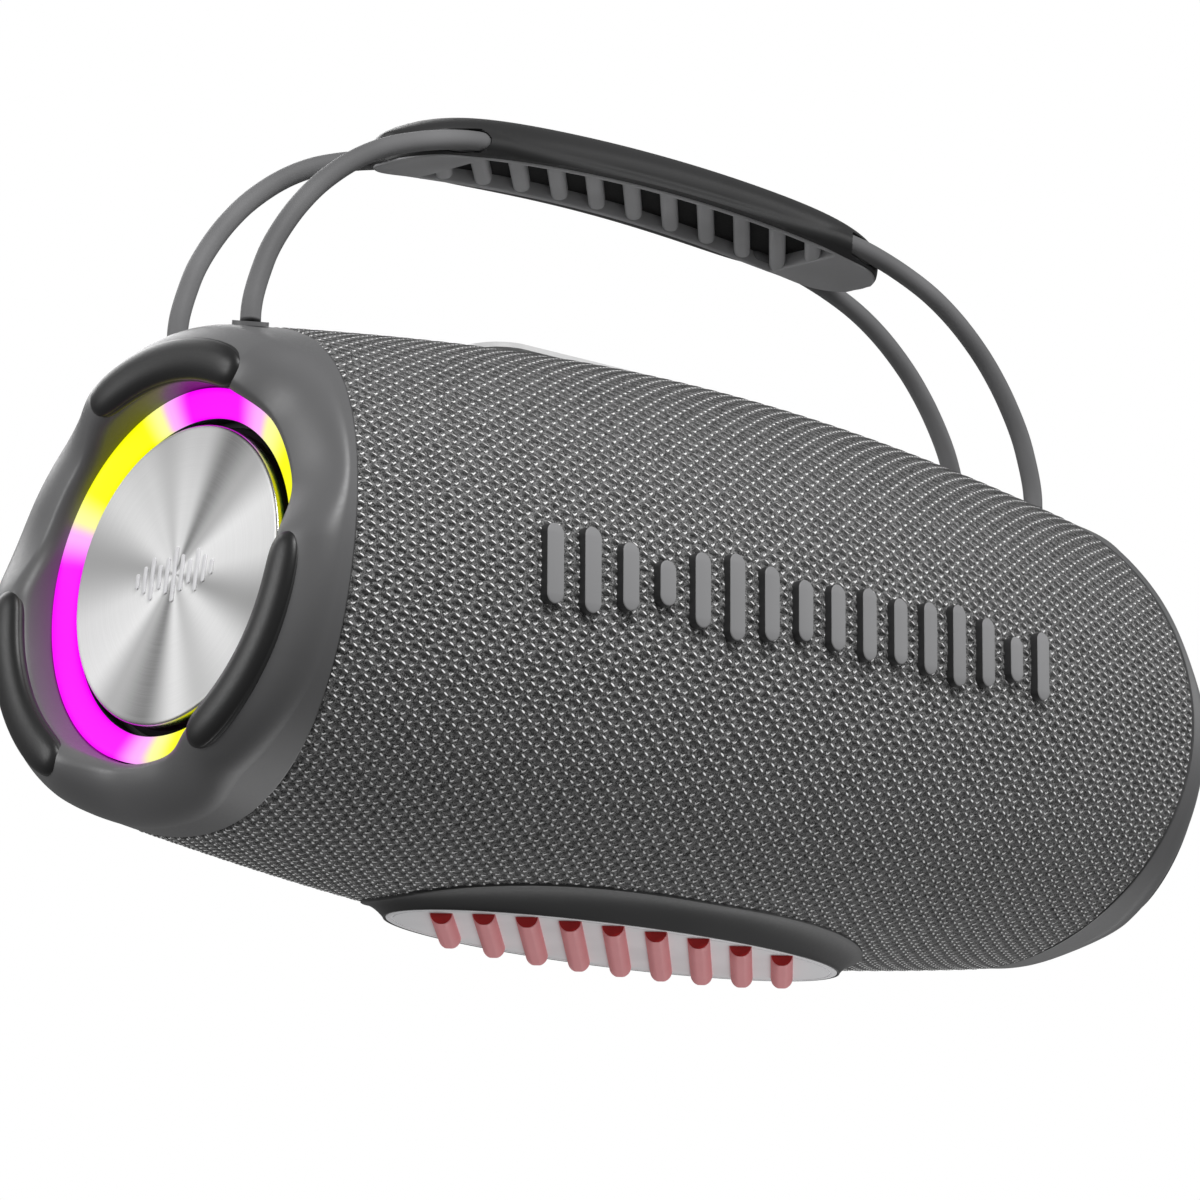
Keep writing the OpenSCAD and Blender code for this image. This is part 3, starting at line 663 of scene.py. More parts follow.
def curve_through(points, per_span=6):
    """A Catmull-Rom line through points, with a mirrored neighbour beyond each end."""
    p = np.array(points, float)
    p = np.vstack([2 * p[0] - p[1], p, 2 * p[-1] - p[-2]])
    out = []
    for k in range(1, len(p) - 2):
        a, b, c, d = p[k - 1 : k + 3]
        for s in np.linspace(0, 1, per_span, endpoint=False):
            curve = (2 * a - 5 * b + 4 * c - d) * s**2 + (3 * b - a - 3 * c + d) * s**3
            out.append(0.5 * (2 * b + (c - a) * s + curve))
    out.append(p[-2])
    return np.array(out)


def make_cord(side_name, row_name):
    side, y = SIDES[side_name], CORD_Y * (-1 if row_name == "front" else 1)
    line = curve_through(CORD_ROUTE)
    way = np.gradient(line, axis=0)
    way /= np.linalg.norm(way, axis=1)[:, None]
    radius = np.full(len(line), CORD_D / 2)
    # a round end where the cord lies in the grip
    turns = [k * math.pi / 2 / CORD_TIP_STEPS for k in range(1, CORD_TIP_STEPS + 1)]
    tip_line = [line[-1] + way[-1] * CORD_D / 2 * math.sin(q) for q in turns]
    tip_r = [CORD_D / 2 * max(0.02, math.cos(q)) for q in turns]
    line = np.vstack([line, tip_line])
    way = np.vstack([way, np.repeat(way[-1:], CORD_TIP_STEPS, axis=0)])
    radius = np.concatenate([radius, tip_r])
    rings = []
    for (x, z), (wx, wz), r in zip(line, way, radius):
        t = np.linspace(0, 2 * math.pi, CORD_SIDES, endpoint=False)
        u, v = r * np.cos(t), r * np.sin(t)
        rings.append(np.stack([side * (x - wz * u), y + v, z + wx * u], axis=-1))
    name = f"cord_{side_name}_{row_name}"
    obj = loft(name, rings)
    obj.data.materials.append(CORD)
    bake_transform(obj)
    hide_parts(f"handle_cord_{side_name}_{row_name}")


for side_name in SIDES:
    for row_name in ("front", "rear"):
        make_cord(side_name, row_name)

# ---------- grille cloth ----------
CLOTH_RELIEF = 0.5
# Mesh points to a cell, along the barrel and round it
CLOTH_POINTS_X, CLOTH_POINTS_ROUND = 4, 3
# The gap to a cap's seam, the share of the length that turns in there, and how deep it turns
CLOTH_GAP, CLOTH_TURN_SHARE, CLOTH_TURN = 0.3, 0.006, 0.5
# How far the weave's hollows lie under the barrel's surface
CLOTH_REST = 0.2
# How far the cloth runs on under the foot and the panels
FOOT_LAP, PANEL_LAP = 4, 5


def in_opening(p):
    """Whether points of the cloth lie under the foot, the control panel or the port panel."""
    def between(name, axis):
        low, high = (corner[axis] - (AXIS_Z if axis == 2 else 0) for corner in node_box(name))
        return (p[:, axis] > low + PANEL_LAP) & (p[:, axis] < high - PANEL_LAP)

    x, y, z = p.T
    foot = (z < 0) & ((x / (FOOT_LEN / 2 - FOOT_LAP)) ** 2 + (y / (FOOT_W / 2 - FOOT_LAP)) ** 2 < 1)
    panel = (z > 0) & between("control_panel", 0) & between("control_panel", 1)
    port = (y > 0) & between("port_panel", 0) & between("port_panel", 2)
    return foot | panel | port


def drop_loose(obj):
    """Removes points that no face uses."""
    bm = bmesh.new()
    bm.from_mesh(obj.data)
    bmesh.ops.delete(bm, geom=[v for v in bm.verts if not v.link_faces], context="VERTS")
    bm.to_mesh(obj.data)
    bm.free()


def make_cloth():
    """The cloth over the barrel, with each knuckle of the weave raised, turned in at both seams."""
    n = CELLS_ROUND * CLOTH_POINTS_ROUND
    t = np.arange(n) * 2 * math.pi / n
    m = int(2 * (SEAM_MID / CELL_X) * CLOTH_POINTS_X)
    f = np.linspace(-1, 1, m)[:, None]
    x = f * (seam_x(t)[None, :] - CLOTH_GAP)
    u = x / CELL_X
    v = np.where(t > math.pi, t - 2 * math.pi, t)[None, :] * CELLS_ROUND / (2 * math.pi)
    rise = weave_height(u, np.broadcast_to(v, u.shape)) * CLOTH_RELIEF
    edge = smooth((1 - np.abs(f)) / CLOTH_TURN_SHARE)
    r = barrel(x) + (rise - CLOTH_REST) * edge - CLOTH_TURN * (1 - edge)
    points = oval(x, r, t[None, :], SQUASH)
    faces = grid_faces(m, n, close_n=True)
    flat = points.reshape(-1, 3)
    obj = new_object("grille_cloth", place(flat), faces[~in_opening(flat[faces].mean(axis=1))])
    drop_loose(obj)
    fix_normals(obj)
    finish_piece(obj, "root", "grille_fabric", CLOTH, "grille_sleeve")


make_cloth()

# ---------- end caps and bumpers ----------
CAP_STEPS = 720
# The rim's outer roll and its inner lip, at most, and the slit round the light ring
CAP_ROLL, CAP_LIP, CAP_SLIT = 15, 5.2, 0.4


def cap_profile(t):
    """The cap's section at angles t, from the seam over the rim to the light, one row of points per angle."""
    xs, xc, rc = seam_x(t), rim_x(t), rim_r(t)
    roll = np.minimum(CAP_ROLL, 0.75 * (xc - xs))
    xa = xc - roll
    ra = barrel(xa)
    xl = led_plane_x(LED_R, t)
    lip = np.minimum(CAP_LIP, xc - xl - 0.8)
    rl = LED_R + CAP_SLIT
    rows = [
        (xs, barrel(xs) - 3.2, SQUASH),
        (xs, barrel(xs) - 0.5, SQUASH),
        (xs + 0.15, barrel(xs) - 0.12, SQUASH),
        (xs + 0.5, barrel(xs + 0.5), SQUASH),
    ]
    for g in np.linspace(0.04, 0.96, 16):
        xg = mix(xs, xa, g)
        rows.append((xg, barrel(xg), SQUASH))
    for a in np.radians(np.linspace(0, 88, 20)):
        rows.append((xa + roll * math.sin(a), rc + (ra - rc) * math.cos(a), mix(1, SQUASH, math.cos(a))))
    for a in np.radians(np.linspace(0, 90, 14)):
        rows.append((xc - lip * (1 - math.cos(a)), rl + (rc - rl) * (1 - math.sin(a)), 1.0))
    for g in (0.2, 0.5, 0.8, 0.96):
        rows.append((mix(xc - lip, xl + 0.1, g), rl, 1.0))
    rows += [(xl - 3, rl, 1.0), (xl - 3, rl + 2.5, 1.0), (xa - 1, ra - 5, mix(1, SQUASH, 0.8))]
    return np.stack([oval(x, r, t, q) for x, r, q in rows], axis=1)


def make_cap(side_name):
    t = np.arange(CAP_STEPS) * 2 * math.pi / CAP_STEPS
    rings = cap_profile(t) * (SIDES[side_name], 1, 1)
    obj = loft(f"end_cap_{side_name}_shell", rings, loop=True)
    sharpen(obj, 50)
    finish_piece(obj, "root", "cap_grey", CAP, f"end_cap_{side_name}")


def make_bumper(side_name, spot):
    """A soft bar along the rim, with full round ends, and a thin black ring round it on the cap as painted
    shade for the gap where it meets the cap.
    """
    side, t_mid = SIDES[side_name], math.radians(BUMPERS[spot])
    half = math.radians(BUMPER_HALF_ANGLE)
    a = np.linspace(0, 2 * math.pi, 40, endpoint=False)
    # name, half length in radians, half width, rise, how deep it sits in the cap, material
    bars = (
        ("", half, BUMPER_HALF_W, BUMPER_RISE, 1.2, BUMPER),
        # a slightly wider black ring, sunk deeper: painted shade for the gap round the bar
        ("_gap_shade", half + 0.0014, BUMPER_HALF_W + 0.35, BUMPER_RISE - 0.1, 2.1, BLACK),
    )
    for name, half_len, half_w, rise, sink, material in bars:
        rings = []
        for f in np.linspace(-1, 1, 97):
            size = math.sqrt(max(0.0004, 1 - abs(f) ** 9))
            t = t_mid + f * half_len
            r = rim_r(t) + 1 + half_w * size * np.cos(a)
            x = rim_x(t) - sink + rise * size * np.sin(a)
            rings.append(oval(x, r, t, 1.01) * (side, 1, 1))
        obj = loft(f"bumper_{side_name}_{spot}_pad{name}", rings)
        obj.data.materials.append(material)
        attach(obj, "root")
        if not name:
            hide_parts(f"bumper_{side_name}_{spot}")


for side_name in SIDES:
    make_cap(side_name)
    for spot in BUMPERS:
        make_bumper(side_name, spot)

# ---------- light rings, radiator discs ----------
# The disc's row of upright bars: their heights, pitch and half width
MARK_BARS = (5, 9, 14, 8, 12, 18, 12, 8, 14, 9, 5)
MARK_PITCH, MARK_HALF_W = 3.6, 0.8


def make_light(side_name):
    side = SIDES[side_name]
    dish = [(mix(LED_R - 1.6, LED_INNER_R, f), -LED_DISH * f**1.2) for f in np.linspace(0.08, 0.94, 10)]
    back = [(LED_INNER_R, -LED_DISH - 1.2), (54.2, -3.2), (LED_R, -2.5)]
    outer_edge = [(LED_R, -0.6), (LED_R - 0.5, -0.15), (LED_R - 1.3, 0.0)]
    inner_edge = [(LED_INNER_R + 0.2, -LED_DISH), (LED_INNER_R, -LED_DISH - 0.2)]
    profile = [*back, *outer_edge, *dish, *inner_edge]
    obj = turned(f"light_ring_{side_name}", side, profile)
    finish_piece(obj, "root", "light_diffuser", LED, f"light_diffuser_{side_name}")


def make_disc(side_name):
    side = SIDES[side_name]
    top, back = DISC_FACE, DISC_FACE - DISC_T
    face = [(r, top - 0.02 * (k % 2)) for k, r in enumerate(np.linspace(0.4, DISC_R - 1.6, 40))]
    edge = [(DISC_R - 0.9, top), (DISC_R - 0.5, top - 0.12), (DISC_R - 0.1, top - 0.5), (DISC_R, top - 0.8)]
    skirt = [(DISC_R, back), (DISC_R - 1.5, back), (DISC_R - 1.5, top - 1.4), (0.4, top - 1.4)]
    profile = face + edge + skirt
    obj = turned(f"disc_{side_name}", side, profile, 256)
    sharpen(obj, 30)
    obj.data.materials.append(DISC)
    obj.data.materials.append(DISC_EDGE)
    normal = Vector((side * math.cos(LEAN), 0, math.sin(LEAN)))
    for p in obj.data.polygons:
        p.material_index = 0 if abs(p.normal.dot(normal)) > 0.95 else 1
    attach(obj, f"radiator_{side_name}")
    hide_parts(f"radiator_disc_{side_name}")
    middle = (len(MARK_BARS) - 1) / 2
    outlines = [capsule((k - middle) * MARK_PITCH, 0.0, MARK_HALF_W, h / 2) for k, h in enumerate(MARK_BARS)]
    mark = flat_shape(f"disc_mark_{side_name}", outlines, 0.25, 0.08, 1)
    move_points(mark, lambda p: end_place(side, np.stack([top + 0.2 + p[:, 2], p[:, 0], p[:, 1]], axis=-1)))
    fix_normals(mark)
    finish_piece(mark, f"radiator_{side_name}", "radiator_metal", MARK)


for side_name in SIDES:
    make_light(side_name)
    make_disc(side_name)

# ---------- badge ----------
BADGE_X, BADGE_BARS, BADGE_PITCH, BADGE_W = -10.0, 16, 14.6, 6.4


def make_badge():
    outlines = []
    for i in range(BADGE_BARS):
        x = BADGE_X + (i - (BADGE_BARS - 1) / 2) * BADGE_PITCH
        slow = 8.5 * abs(math.sin(math.radians(i * 48 + 40)))
        quick = 7 * abs(math.cos(math.radians(i * 360 / 11)))
        h = 13 + slow + quick
        outlines.append(capsule(x, 2.0, BADGE_W / 2, h / 2, 14))
    obj = flat_shape("badge_bars", outlines, 2.6, 0.45, 3)
    fix_normals(obj)

    def wrap(p):
        x, z = p[:, 0], p[:, 1]
        y = SQUASH * np.sqrt(np.clip(barrel(x) ** 2 - z**2, 0, None))
        return np.stack([x, -(y + 0.8 + p[:, 2]), z], axis=-1)

    move_points(obj, wrap)
    fix_normals(obj)
    sharpen(obj, 30)
    obj.data.materials.append(BADGE_FACE)
    obj.data.materials.append(BADGE_SIDE_SHADE)
    # faces that look out to the front take the face colour, all others the painted shade
    for p in obj.data.polygons:
        p.material_index = 0 if p.normal.y < -0.5 else 1
    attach(obj, "root")
    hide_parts("badge")


make_badge()

# ---------- foot ----------


def make_foot():
    steps = 256
    t = np.linspace(0, 2 * math.pi, steps, endpoint=False)
    rim = super_point(FOOT_LEN / 2 + 5, FOOT_W / 2 + 8, t, 0.85)
    edge = super_point(FOOT_LEN / 2 + 1, FOOT_W / 2 + 1, t, 1)
    rows = [(*rim, fabric_z(*rim, -1.0)), (*rim, fabric_z(*rim, 0.7))]
    for f in np.linspace(0.03, 1, 14):
        bend = f**0.75
        x, y = mix(rim[0], edge[0], bend), mix(rim[1], edge[1], bend)
        rows.append((x, y, mix(fabric_z(*rim, 1.0), PLATE_Z + 0.5, f**1.5)))
    for inset, z in ((0.15, 0.1), (0.5, 0.0), (0.8, 0.05), (0.8, 2.2), (4, 2.2), (4, 3)):
        ring = super_point(FOOT_LEN / 2 + 1 - inset, FOOT_W / 2 + 1 - inset, t, 1)
        rows.append((*ring, PLATE_Z + z))
    rings = np.stack([ring_of(*row) for row in rows], axis=1)
    obj = loft("foot_skirt", rings, loop=True)
    sharpen(obj, 50)
    finish_piece(obj, "root", "foot_housing_grey", HOUSING, "foot_housing")
    # the plate, with a fine groove just inside its edge
    rows = []
    plate_rim = ((0, 2), (0, 0.5), (0.12, 0.15), (0.4, 0))
    groove = ((2.2, 0), (2.35, 0.35), (2.75, 0.35), (2.9, 0))
    for inset, z in (*plate_rim, *groove, (8, 0), (16, 0), (26, 0), (35, 0)):
        ring = super_point(FOOT_LEN / 2 - inset, FOOT_W / 2 - inset, t, 1)
        rows.append(ring_of(*ring, PLATE_Z + z))
    obj = loft("foot_pad", rows)
    sharpen(obj, 30)
    finish_piece(obj, "root", "foot_plate_grey", PLATE, "foot_plate")


def rib_end(x0, sign):
    """Where a 45-degree line through x0 meets the oval inside the plate's edge."""
    a, b = FOOT_LEN / 2 - 8, FOOT_W / 2 - 3.5
    p, q, r = 1 / a**2 + 1 / b**2, 2 * x0 / a**2, (x0 / a) ** 2 - 1
    return (-q + sign * math.sqrt(q * q - 4 * p * r)) / (2 * p)


def make_ribs():
    """Half-round bars across the plate, soft at their edges, with their end faces painted dark red as shade.
    """
    verts, faces, ends = [], [], []
    arc = np.linspace(0, math.pi, 25)
    for k in range(-4, 5):
        x0 = k * RIB_PITCH
        y1, y2 = rib_end(x0, -1), rib_end(x0, 1)
        start, stop = np.array([x0 + y1, y1]), np.array([x0 + y2, y2])
        way = (stop - start) / np.linalg.norm(stop - start)
        across = np.array([-way[1], way[0]])
        soft_edge = ((0.0, RIB_R - 0.25), (0.08, RIB_R - 0.08), (0.25, RIB_R))
        rows = [(start + way * c, r) for c, r in soft_edge]
        rows += [(mix(start, stop, f), RIB_R) for f in (0.25, 0.5, 0.75)]
        rows += [(stop - way * c, r) for c, r in soft_edge[::-1]]
        first = len(verts)
        for centre, r in rows:
            for a in arc:
                spot = centre + across * r * math.cos(a)
                depth = min(r * math.sin(a), RIB_H - 0.02)
                verts.append((spot[0], spot[1], PLATE_Z - depth))
        n = len(arc)
        faces += (grid_faces(len(rows), n, close_n=True) + first).tolist()
        ends.append(len(faces))
        faces.append([first + i for i in range(n)])
        ends.append(len(faces))
        faces.append([first + (len(rows) - 1) * n + i for i in range(n)])
    obj = new_object("foot_bars", place(verts), faces)
    fix_normals(obj)
    sharpen(obj, 40)
    obj.data.materials.append(RIB_BODY)
    obj.data.materials.append(RIB_END_SHADE)
    # the end faces take the dark red painted shade
    for i in ends:
        obj.data.polygons[i].material_index = 1
    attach(obj, "root")
    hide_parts("foot_ribs")


make_foot()
make_ribs()

# ---------- grip ----------
# The underside's height in the middle and its fall to the tips, then the same for the top, which falls twice
ARCH_TOP, ARCH_DROP = 158.3, 8.6
CROWN_TOP, CROWN_DROP, CROWN_TIP_DROP = 174.5, 7, 7.5
TRAY_T = 6.0
# The tray's opening and the fins across it
FIELD_LEN, FIELD_W, FIN_PITCH, FIN_W = 164.0, 32.0, 17.3, 5.7
# The cords lie in grooves beyond GROOVE_START, and the skin covers them nearer the middle
GROOVE_R, GROOVE_START, SLEEVE_R = 3.8, 88.0, 3.85
CORE_LEN, CORE_W, CORE_T = 176, 24, 2.0
# Flat shapes are cut this often along X, so that they can bend
BEND_STEP = 6


def arch(x):
    """Height of the grip's underside, arched along its length."""
    return ARCH_TOP - ARCH_DROP * (2 * np.asarray(x) / GRIP_LEN) ** 2


def grip_half(x):
    """Half width of the grip, with round corners at its tips."""
    f = np.abs(2 * np.asarray(x, float) / GRIP_LEN)
    return GRIP_W / 2 * np.maximum(0.0008, 1 - f**7) ** 0.42


def grip_top(x):
    f = np.abs(2 * np.asarray(x, float) / GRIP_LEN)
    return CROWN_TOP - CROWN_DROP * f**2 - CROWN_TIP_DROP * f**8


def tray_half(x):
    """Half width of the tray: narrower than the grip along its middle, nearly as wide at its tips."""
    inset = 4 - 2.4 * smooth((np.abs(x) - 84) / 20)
    return np.maximum(grip_half(x) - inset, 0.15 * grip_half(x))


def cord_height(x):
    """Height of the cords' middle line where they lie along the grip."""
    xs, zs = zip(*reversed(CORD_ROUTE))
    return float(np.interp(abs(x), xs, zs))


def skin_section(x):
    """The grip's section: over the top, round under both sides, and hollow underneath for the tray."""
    w, wb, base = float(grip_half(x)), float(tray_half(x)), float(arch(x))
    low, mid, top = base + 0.7, base + 6.5, float(grip_top(x))
    half = []
    for q in np.radians(np.linspace(0, 86, 12)):
        half.append((mix(wb, w, math.sin(q) ** 0.8), mix(mid, low, math.cos(q) ** 1.1)))
    for q in np.radians(np.linspace(0, 90, 28)):
        rise = (top - mid) * signed_power(math.sin(q), 0.92)
        half.append((w * signed_power(math.cos(q), 0.92), mid + rise))
    out = []
    for y, z in half:
        # a groove for the cord, with a round start
        start = GROOVE_R - min(GROOVE_R, max(0.0, GROOVE_START - abs(x)))
        r = math.sqrt(max(0.0, GROOVE_R**2 - (GROOVE_R - start) ** 2))
        lift = abs(z - cord_height(x))
        if lift < r:
            y = min(y, CORD_Y - math.sqrt(r * r - lift * lift))
        elif abs(x) < GROOVE_START and lift < SLEEVE_R:
            y = max(y, CORD_Y + math.sqrt(SLEEVE_R**2 - lift * lift))
        out.append((max(y, 0.0), z))
    inner_y = max(wb - 0.5, 0.1)
    right = [(inner_y, base + TRAY_T - 0.4), (inner_y, low)] + out
    left = [(-y, z) for y, z in right[::-1][1:]]
    return [(x, y, z) for y, z in right + left]


def make_grip():
    xs = np.concatenate([-GRIP_LEN / 2 * np.cos(np.linspace(0, math.pi, 161)),
                         *[s * np.linspace(82, 88, 19) for s in (-1, 1)]])
    xs = np.unique(np.round(xs, 3))
    obj = loft("grip_skin", [skin_section(x) for x in xs])
    sharpen(obj, 50)
    finish_piece(obj, "handle", "grip_rubber", GRIP, "handle_grip")
    # tray: a rim round one long opening, and diagonal fins across it
    side = [(x, float(tray_half(x))) for x in np.linspace(-GRIP_LEN / 2 + 1.2, GRIP_LEN / 2 - 1.2, 150)]
    a, b = FIELD_LEN / 2, FIELD_W / 2
    opening = rectangle(FIELD_LEN, FIELD_W, 1.5)
    outline = np.array(side + [(x, -y) for x, y in side[::-1]])
    tray = flat_shape("grip_tray", [outline, opening], TRAY_T / 2, 0.6)
    k_max = int(a // FIN_PITCH) + 1
    bars = []
    for k in range(-k_max, k_max + 1):
        x0 = k * FIN_PITCH
        y1, y2 = max(-b + 1.4, -a - x0 - 1), min(b - 2.2, a - x0 + 1)
        if y2 - y1 > 9:
            bars.append(bar_outline((x0 + y1, y1), (x0 + y2, y2), FIN_W / 2))
    fins = flat_shape("grip_fins", bars, TRAY_T / 2, 2.0, 4)
    floor = flat_shape("grip_pocket_floor", [rectangle(FIELD_LEN + 2, FIELD_W + 2, 1)], 0.4, 0.1, 1)
    for piece, lift in ((tray, TRAY_T / 2), (fins, TRAY_T / 2 + 0.4), (floor, TRAY_T - 0.5)):
        split_long(piece, BEND_STEP)
        move_points(piece, lambda p: np.stack([p[:, 0], p[:, 1], arch(p[:, 0]) + lift + p[:, 2]], axis=-1))
        fix_normals(piece)
        sharpen(piece, 40)
    finish_piece(tray, "handle", "tray_grey", TRAY, "handle_tray")
    finish_piece(fins, "handle", "tray_grey", TRAY)
    finish_piece(floor, "handle", "grip_rubber", POCKET)
    core = flat_shape("grip_core", [rectangle(CORE_LEN, CORE_W, 8)], CORE_T / 2, 0.2, 1)
    split_long(core, BEND_STEP)
    move_points(core, lambda p: np.stack([p[:, 0], p[:, 1], arch(p[:, 0]) + TRAY_T + 2 + p[:, 2]], axis=-1))
    fix_normals(core)
    finish_piece(core, "handle", "core_steel", CORE, "handle_core")


make_grip()

# ---------- controls and port door ----------
# The control panel's angle round the barrel, its middle and its distance from the axis
PANEL_ANGLE, PANEL_X, PANEL_DIST = 87, -15, 96.2
BUTTON_PITCH = 16.5
# The port panel's angle round the barrel, and its door's face
PORT_ANGLE, DOOR_FACE_DIST = -18, 101.2
SYMBOL_H = 0.3


def on_surface(angle, p):
    """From a panel's frame, +Z out of the barrel and X along it, to the barrel's axes."""
    turn = math.radians(angle - 90)
    y = p[:, 1] * math.cos(turn) - p[:, 2] * math.sin(turn)
    z = p[:, 1] * math.sin(turn) + p[:, 2] * math.cos(turn)
    return np.stack([p[:, 0], y, z], axis=-1)


def arc_band(r1, r2, start, stop, steps=28):
    """A band of a ring between two angles in degrees."""
    t = np.radians(np.linspace(start, stop, steps))
    outer = [(r2 * math.cos(q), r2 * math.sin(q)) for q in t]
    return np.array(outer + [(r1 * math.cos(q), r1 * math.sin(q)) for q in t[::-1]])


def symbol_outlines():
    """Plain symbols for the six buttons: power, minus, play, plus, light and pairing."""
    minus = bar_outline((-2.4, 0), (2.4, 0), 0.4)
    plus = np.array([(2.8, 0.4), (0.4, 0.4), (0.4, 2.8), (-0.4, 2.8), (-0.4, 0.4), (-2.8, 0.4), (-2.8, -0.4),
                     (-0.4, -0.4), (-0.4, -2.8), (0.4, -2.8), (0.4, -0.4), (2.8, -0.4)])
    rays = [bar_outline((1.9 * math.cos(q), 1.9 * math.sin(q)), (2.9 * math.cos(q), 2.9 * math.sin(q)), 0.28)
            for q in np.arange(8) * math.pi / 4]
    return [
        [arc_band(2.1, 2.8, 120, 420), bar_outline((0, 0.9), (0, 2.9), 0.38)],
        [minus],
        [np.array([(-1.7, -2.4), (2.6, 0), (-1.7, 2.4)])],
        [plus],
        [arc_band(0.01, 1.2, 0, 350), *rays],
        [arc_band(1.1, 1.7, 0, 355) + (-1.3, 0), arc_band(1.1, 1.7, 180, 520) + (1.5, 0)],
    ]


def make_symbols():
    for i, outlines in enumerate(symbol_outlines()):
        obj = flat_shape(f"button_symbol_{i + 1}", outlines, SYMBOL_H / 2, 0.06, 1)
        x = PANEL_X + BUTTON_PITCH * (i - 2.5)
        move_points(obj, lambda p: on_surface(PANEL_ANGLE, p + (x, 0, PANEL_DIST + 1.0)))
        fix_normals(obj)
        finish_piece(obj, f"button_{i + 1}", "button_rubber", MARK)


def make_door_details():
    """Finger ridges near the door's free edge, and a raised line round its face."""
    ridges = [bar_outline((-9, y), (9, y), 0.5) for y in (-9.6, -7.9, -6.2)]
    rim = [
        fillet([(-33, -10.9), (33, -10.9), (33, 8.5), (-33, 8.5)], 2),
        fillet([(-32, -10.2), (32, -10.2), (32, 7.8), (-32, 7.8)], 1.6),
    ]
    for name, outlines in (("port_door_ridges", ridges), ("port_door_rim", rim)):
        obj = flat_shape(name, outlines, 0.3, 0.15, 2)
        move_points(obj, lambda p: on_surface(PORT_ANGLE, p + (0, 0, DOOR_FACE_DIST + 0.05)))
        fix_normals(obj)
        finish_piece(obj, "port_door", "door_rubber", GROMMET)


make_symbols()
make_door_details()

# ---------- carried-over CAD nodes ----------
SLOT_MATERIALS = {
    "cabinet_plastic": moulded("cabinet_plastic", 0.05, 0.6),
    "circuit_board": tinted("circuit_board", (0.02, 0.16, 0.06), (0.03, 0.22, 0.09), 0.35, coat=0.3),
    "surround_rubber": BLACK,
    "hub_plastic": moulded("hub_plastic", 0.06, 0.55),
    "basket_steel": tinted("basket_steel", grey(0.04), grey(0.06), 0.4),
    "magnet_steel": tinted("magnet_steel", grey(0.3), grey(0.38), 0.35, metallic=1.0),
    "cone_paper": moulded("cone_paper", 0.03, 0.8, grain=500, depth=0.0001),
    "screw_steel": tinted("screw_steel", grey(0.55), grey(0.65), 0.3, metallic=1.0),
    "tweeter_silk": moulded("tweeter_silk", 0.05, 0.7),
    "battery_wrap": tinted("battery_wrap", (0.03, 0.1, 0.28), (0.05, 0.15, 0.36), 0.3, coat=0.4),
    "heatsink_metal": tinted("heatsink_metal", grey(0.5), grey(0.58), 0.4, metallic=1.0),
    "panel_silver": tinted("panel_silver", grey(0.62), grey(0.68), 0.3, coat=0.3),
    "button_rubber": moulded("button_rubber", 0.08, 0.5),
    "port_plastic": moulded("port_plastic", 0.06, 0.55),
    "door_rubber": moulded("door_rubber", 0.045, 0.5),
    "socket_metal": tinted("socket_metal", grey(0.5), grey(0.6), 0.25, metallic=1.0),
    "grommet_rubber": GROMMET,
    "anchor_steel": tinted("anchor_steel", grey(0.5), grey(0.6), 0.3, metallic=1.0),
}


def dress_nodes():
    slots = {part["node"]: part["material_slot"] for part in frame["record"]["subparts"]}
    for name, obj in frame["nodes"].items():
        material = SLOT_MATERIALS.get(slots[name])
        if obj.hide_render or material is None:
            continue
        obj.data.materials.clear()
        obj.data.materials.append(material)


dress_nodes()

# ---------- floor and light ----------


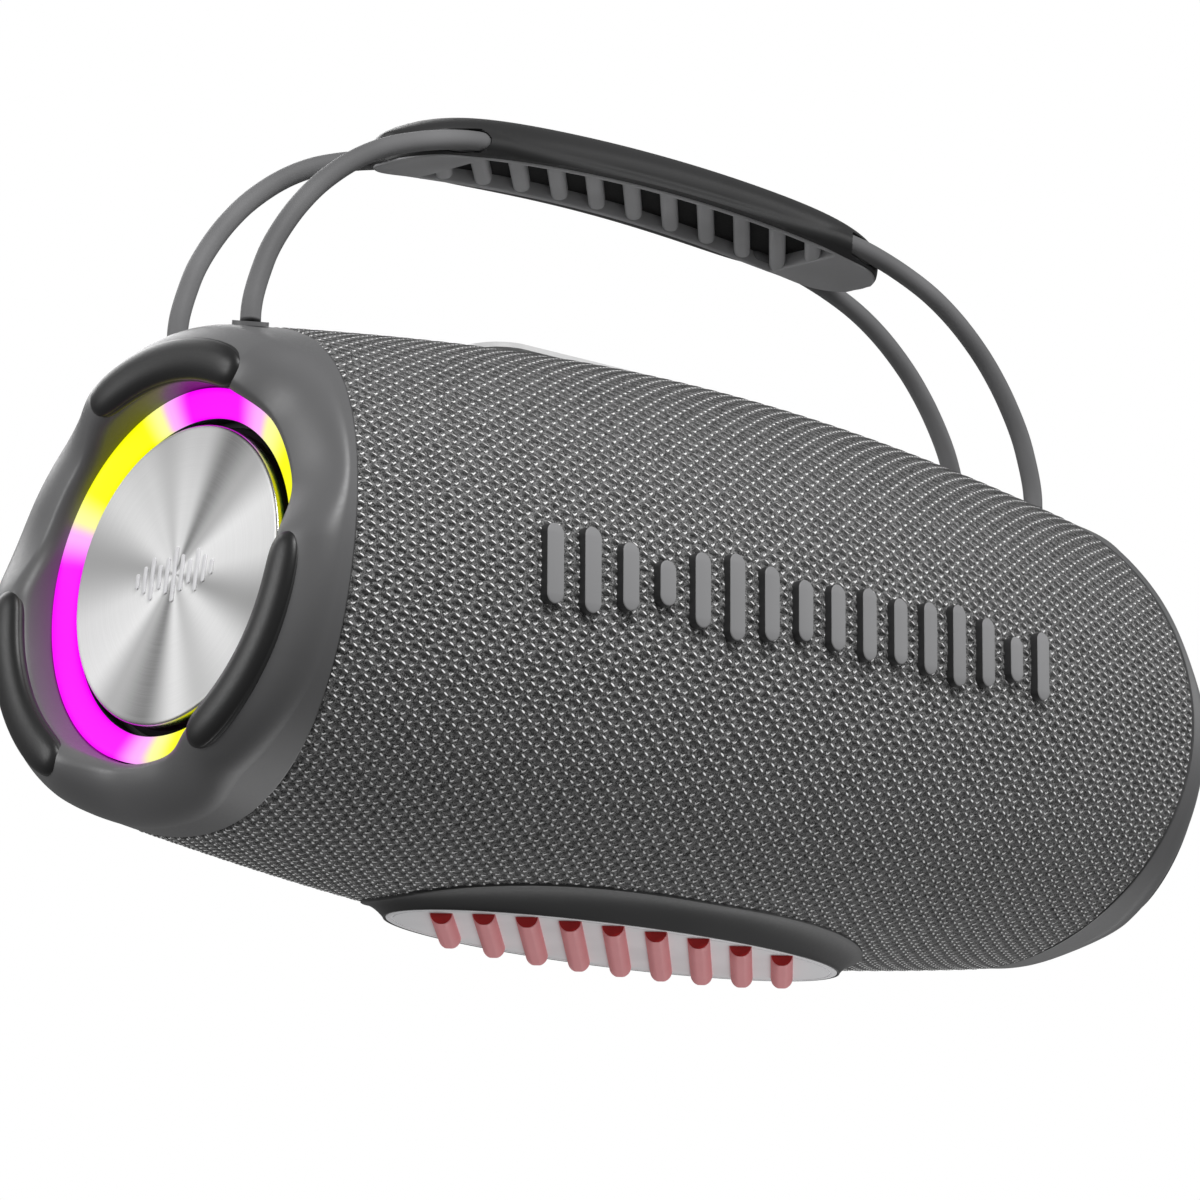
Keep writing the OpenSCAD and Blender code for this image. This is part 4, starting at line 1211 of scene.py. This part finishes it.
def make_floor():
    """A pale floor under the foot, seen only from above, so that a low camera sees the foot through it."""
    size = 6.0
    corners = [(-size, -size, 0), (size, -size, 0), (size, size, 0), (-size, size, 0)]
    obj = new_object("floor", corners, [(0, 1, 2, 3)])
    m = Nodes("floor")
    m.set(Base_Color=(0.8, 0.8, 0.8, 1), Roughness=0.9)
    clear = m.add("ShaderNodeBsdfTransparent")
    blend = m.add("ShaderNodeMixShader")
    m.join(m.add("ShaderNodeNewGeometry").outputs["Backfacing"], blend.inputs[0])
    m.join(m.shader.outputs[0], blend.inputs[1])
    m.join(clear.outputs[0], blend.inputs[2])
    m.join(blend.outputs[0], m.tree.nodes["Material Output"].inputs[0])
    obj.data.materials.append(m.material)
    obj.visible_shadow = obj.visible_diffuse = obj.visible_glossy = obj.visible_transmission = False


def make_light_panel(name, spot, target, size, power):
    data = bpy.data.lights.new(name, "AREA")
    data.shape, data.size, data.size_y = "RECTANGLE", *size
    data.energy = power
    lamp = bpy.data.objects.new(name, data)
    bpy.context.scene.collection.objects.link(lamp)
    lamp.location = spot
    lamp.rotation_euler = (Vector(target) - Vector(spot)).to_track_quat("-Z", "Y").to_euler()


def make_world():
    world = bpy.data.worlds.new("studio")
    bpy.context.scene.world = world
    world.use_nodes = True
    tree = world.node_tree
    shown = tree.nodes.new("ShaderNodeBackground")
    shown.inputs[0].default_value, shown.inputs[1].default_value = (1, 1, 1, 1), 1.0
    lit = tree.nodes["Background"]
    lit.inputs[0].default_value, lit.inputs[1].default_value = (1, 1, 1, 1), 0.2
    blend = tree.nodes.new("ShaderNodeMixShader")
    tree.links.new(tree.nodes.new("ShaderNodeLightPath").outputs["Is Camera Ray"], blend.inputs[0])
    tree.links.new(lit.outputs[0], blend.inputs[1])
    tree.links.new(shown.outputs[0], blend.inputs[2])
    tree.links.new(blend.outputs[0], tree.nodes["World Output"].inputs[0])
    bpy.context.scene.view_settings.view_transform = "Standard"


make_floor()
make_world()
MIDDLE = (0, 0, AXIS_Z * MM)
make_light_panel("key", (-0.5, -1.3, 1.3), MIDDLE, (1.0, 0.8), 30)
make_light_panel("fill", (1.4, -0.9, 0.6), MIDDLE, (0.6, 0.9), 6)
make_light_panel("back", (0.2, 1.4, 1.1), MIDDLE, (1.4, 0.8), 14)
make_light_panel("under", (0.9, 0.2, -1.2), MIDDLE, (1.2, 1.2), 9)
make_light_panel("end", (-1.5, 0.7, 0.5), MIDDLE, (0.7, 0.9), 11)
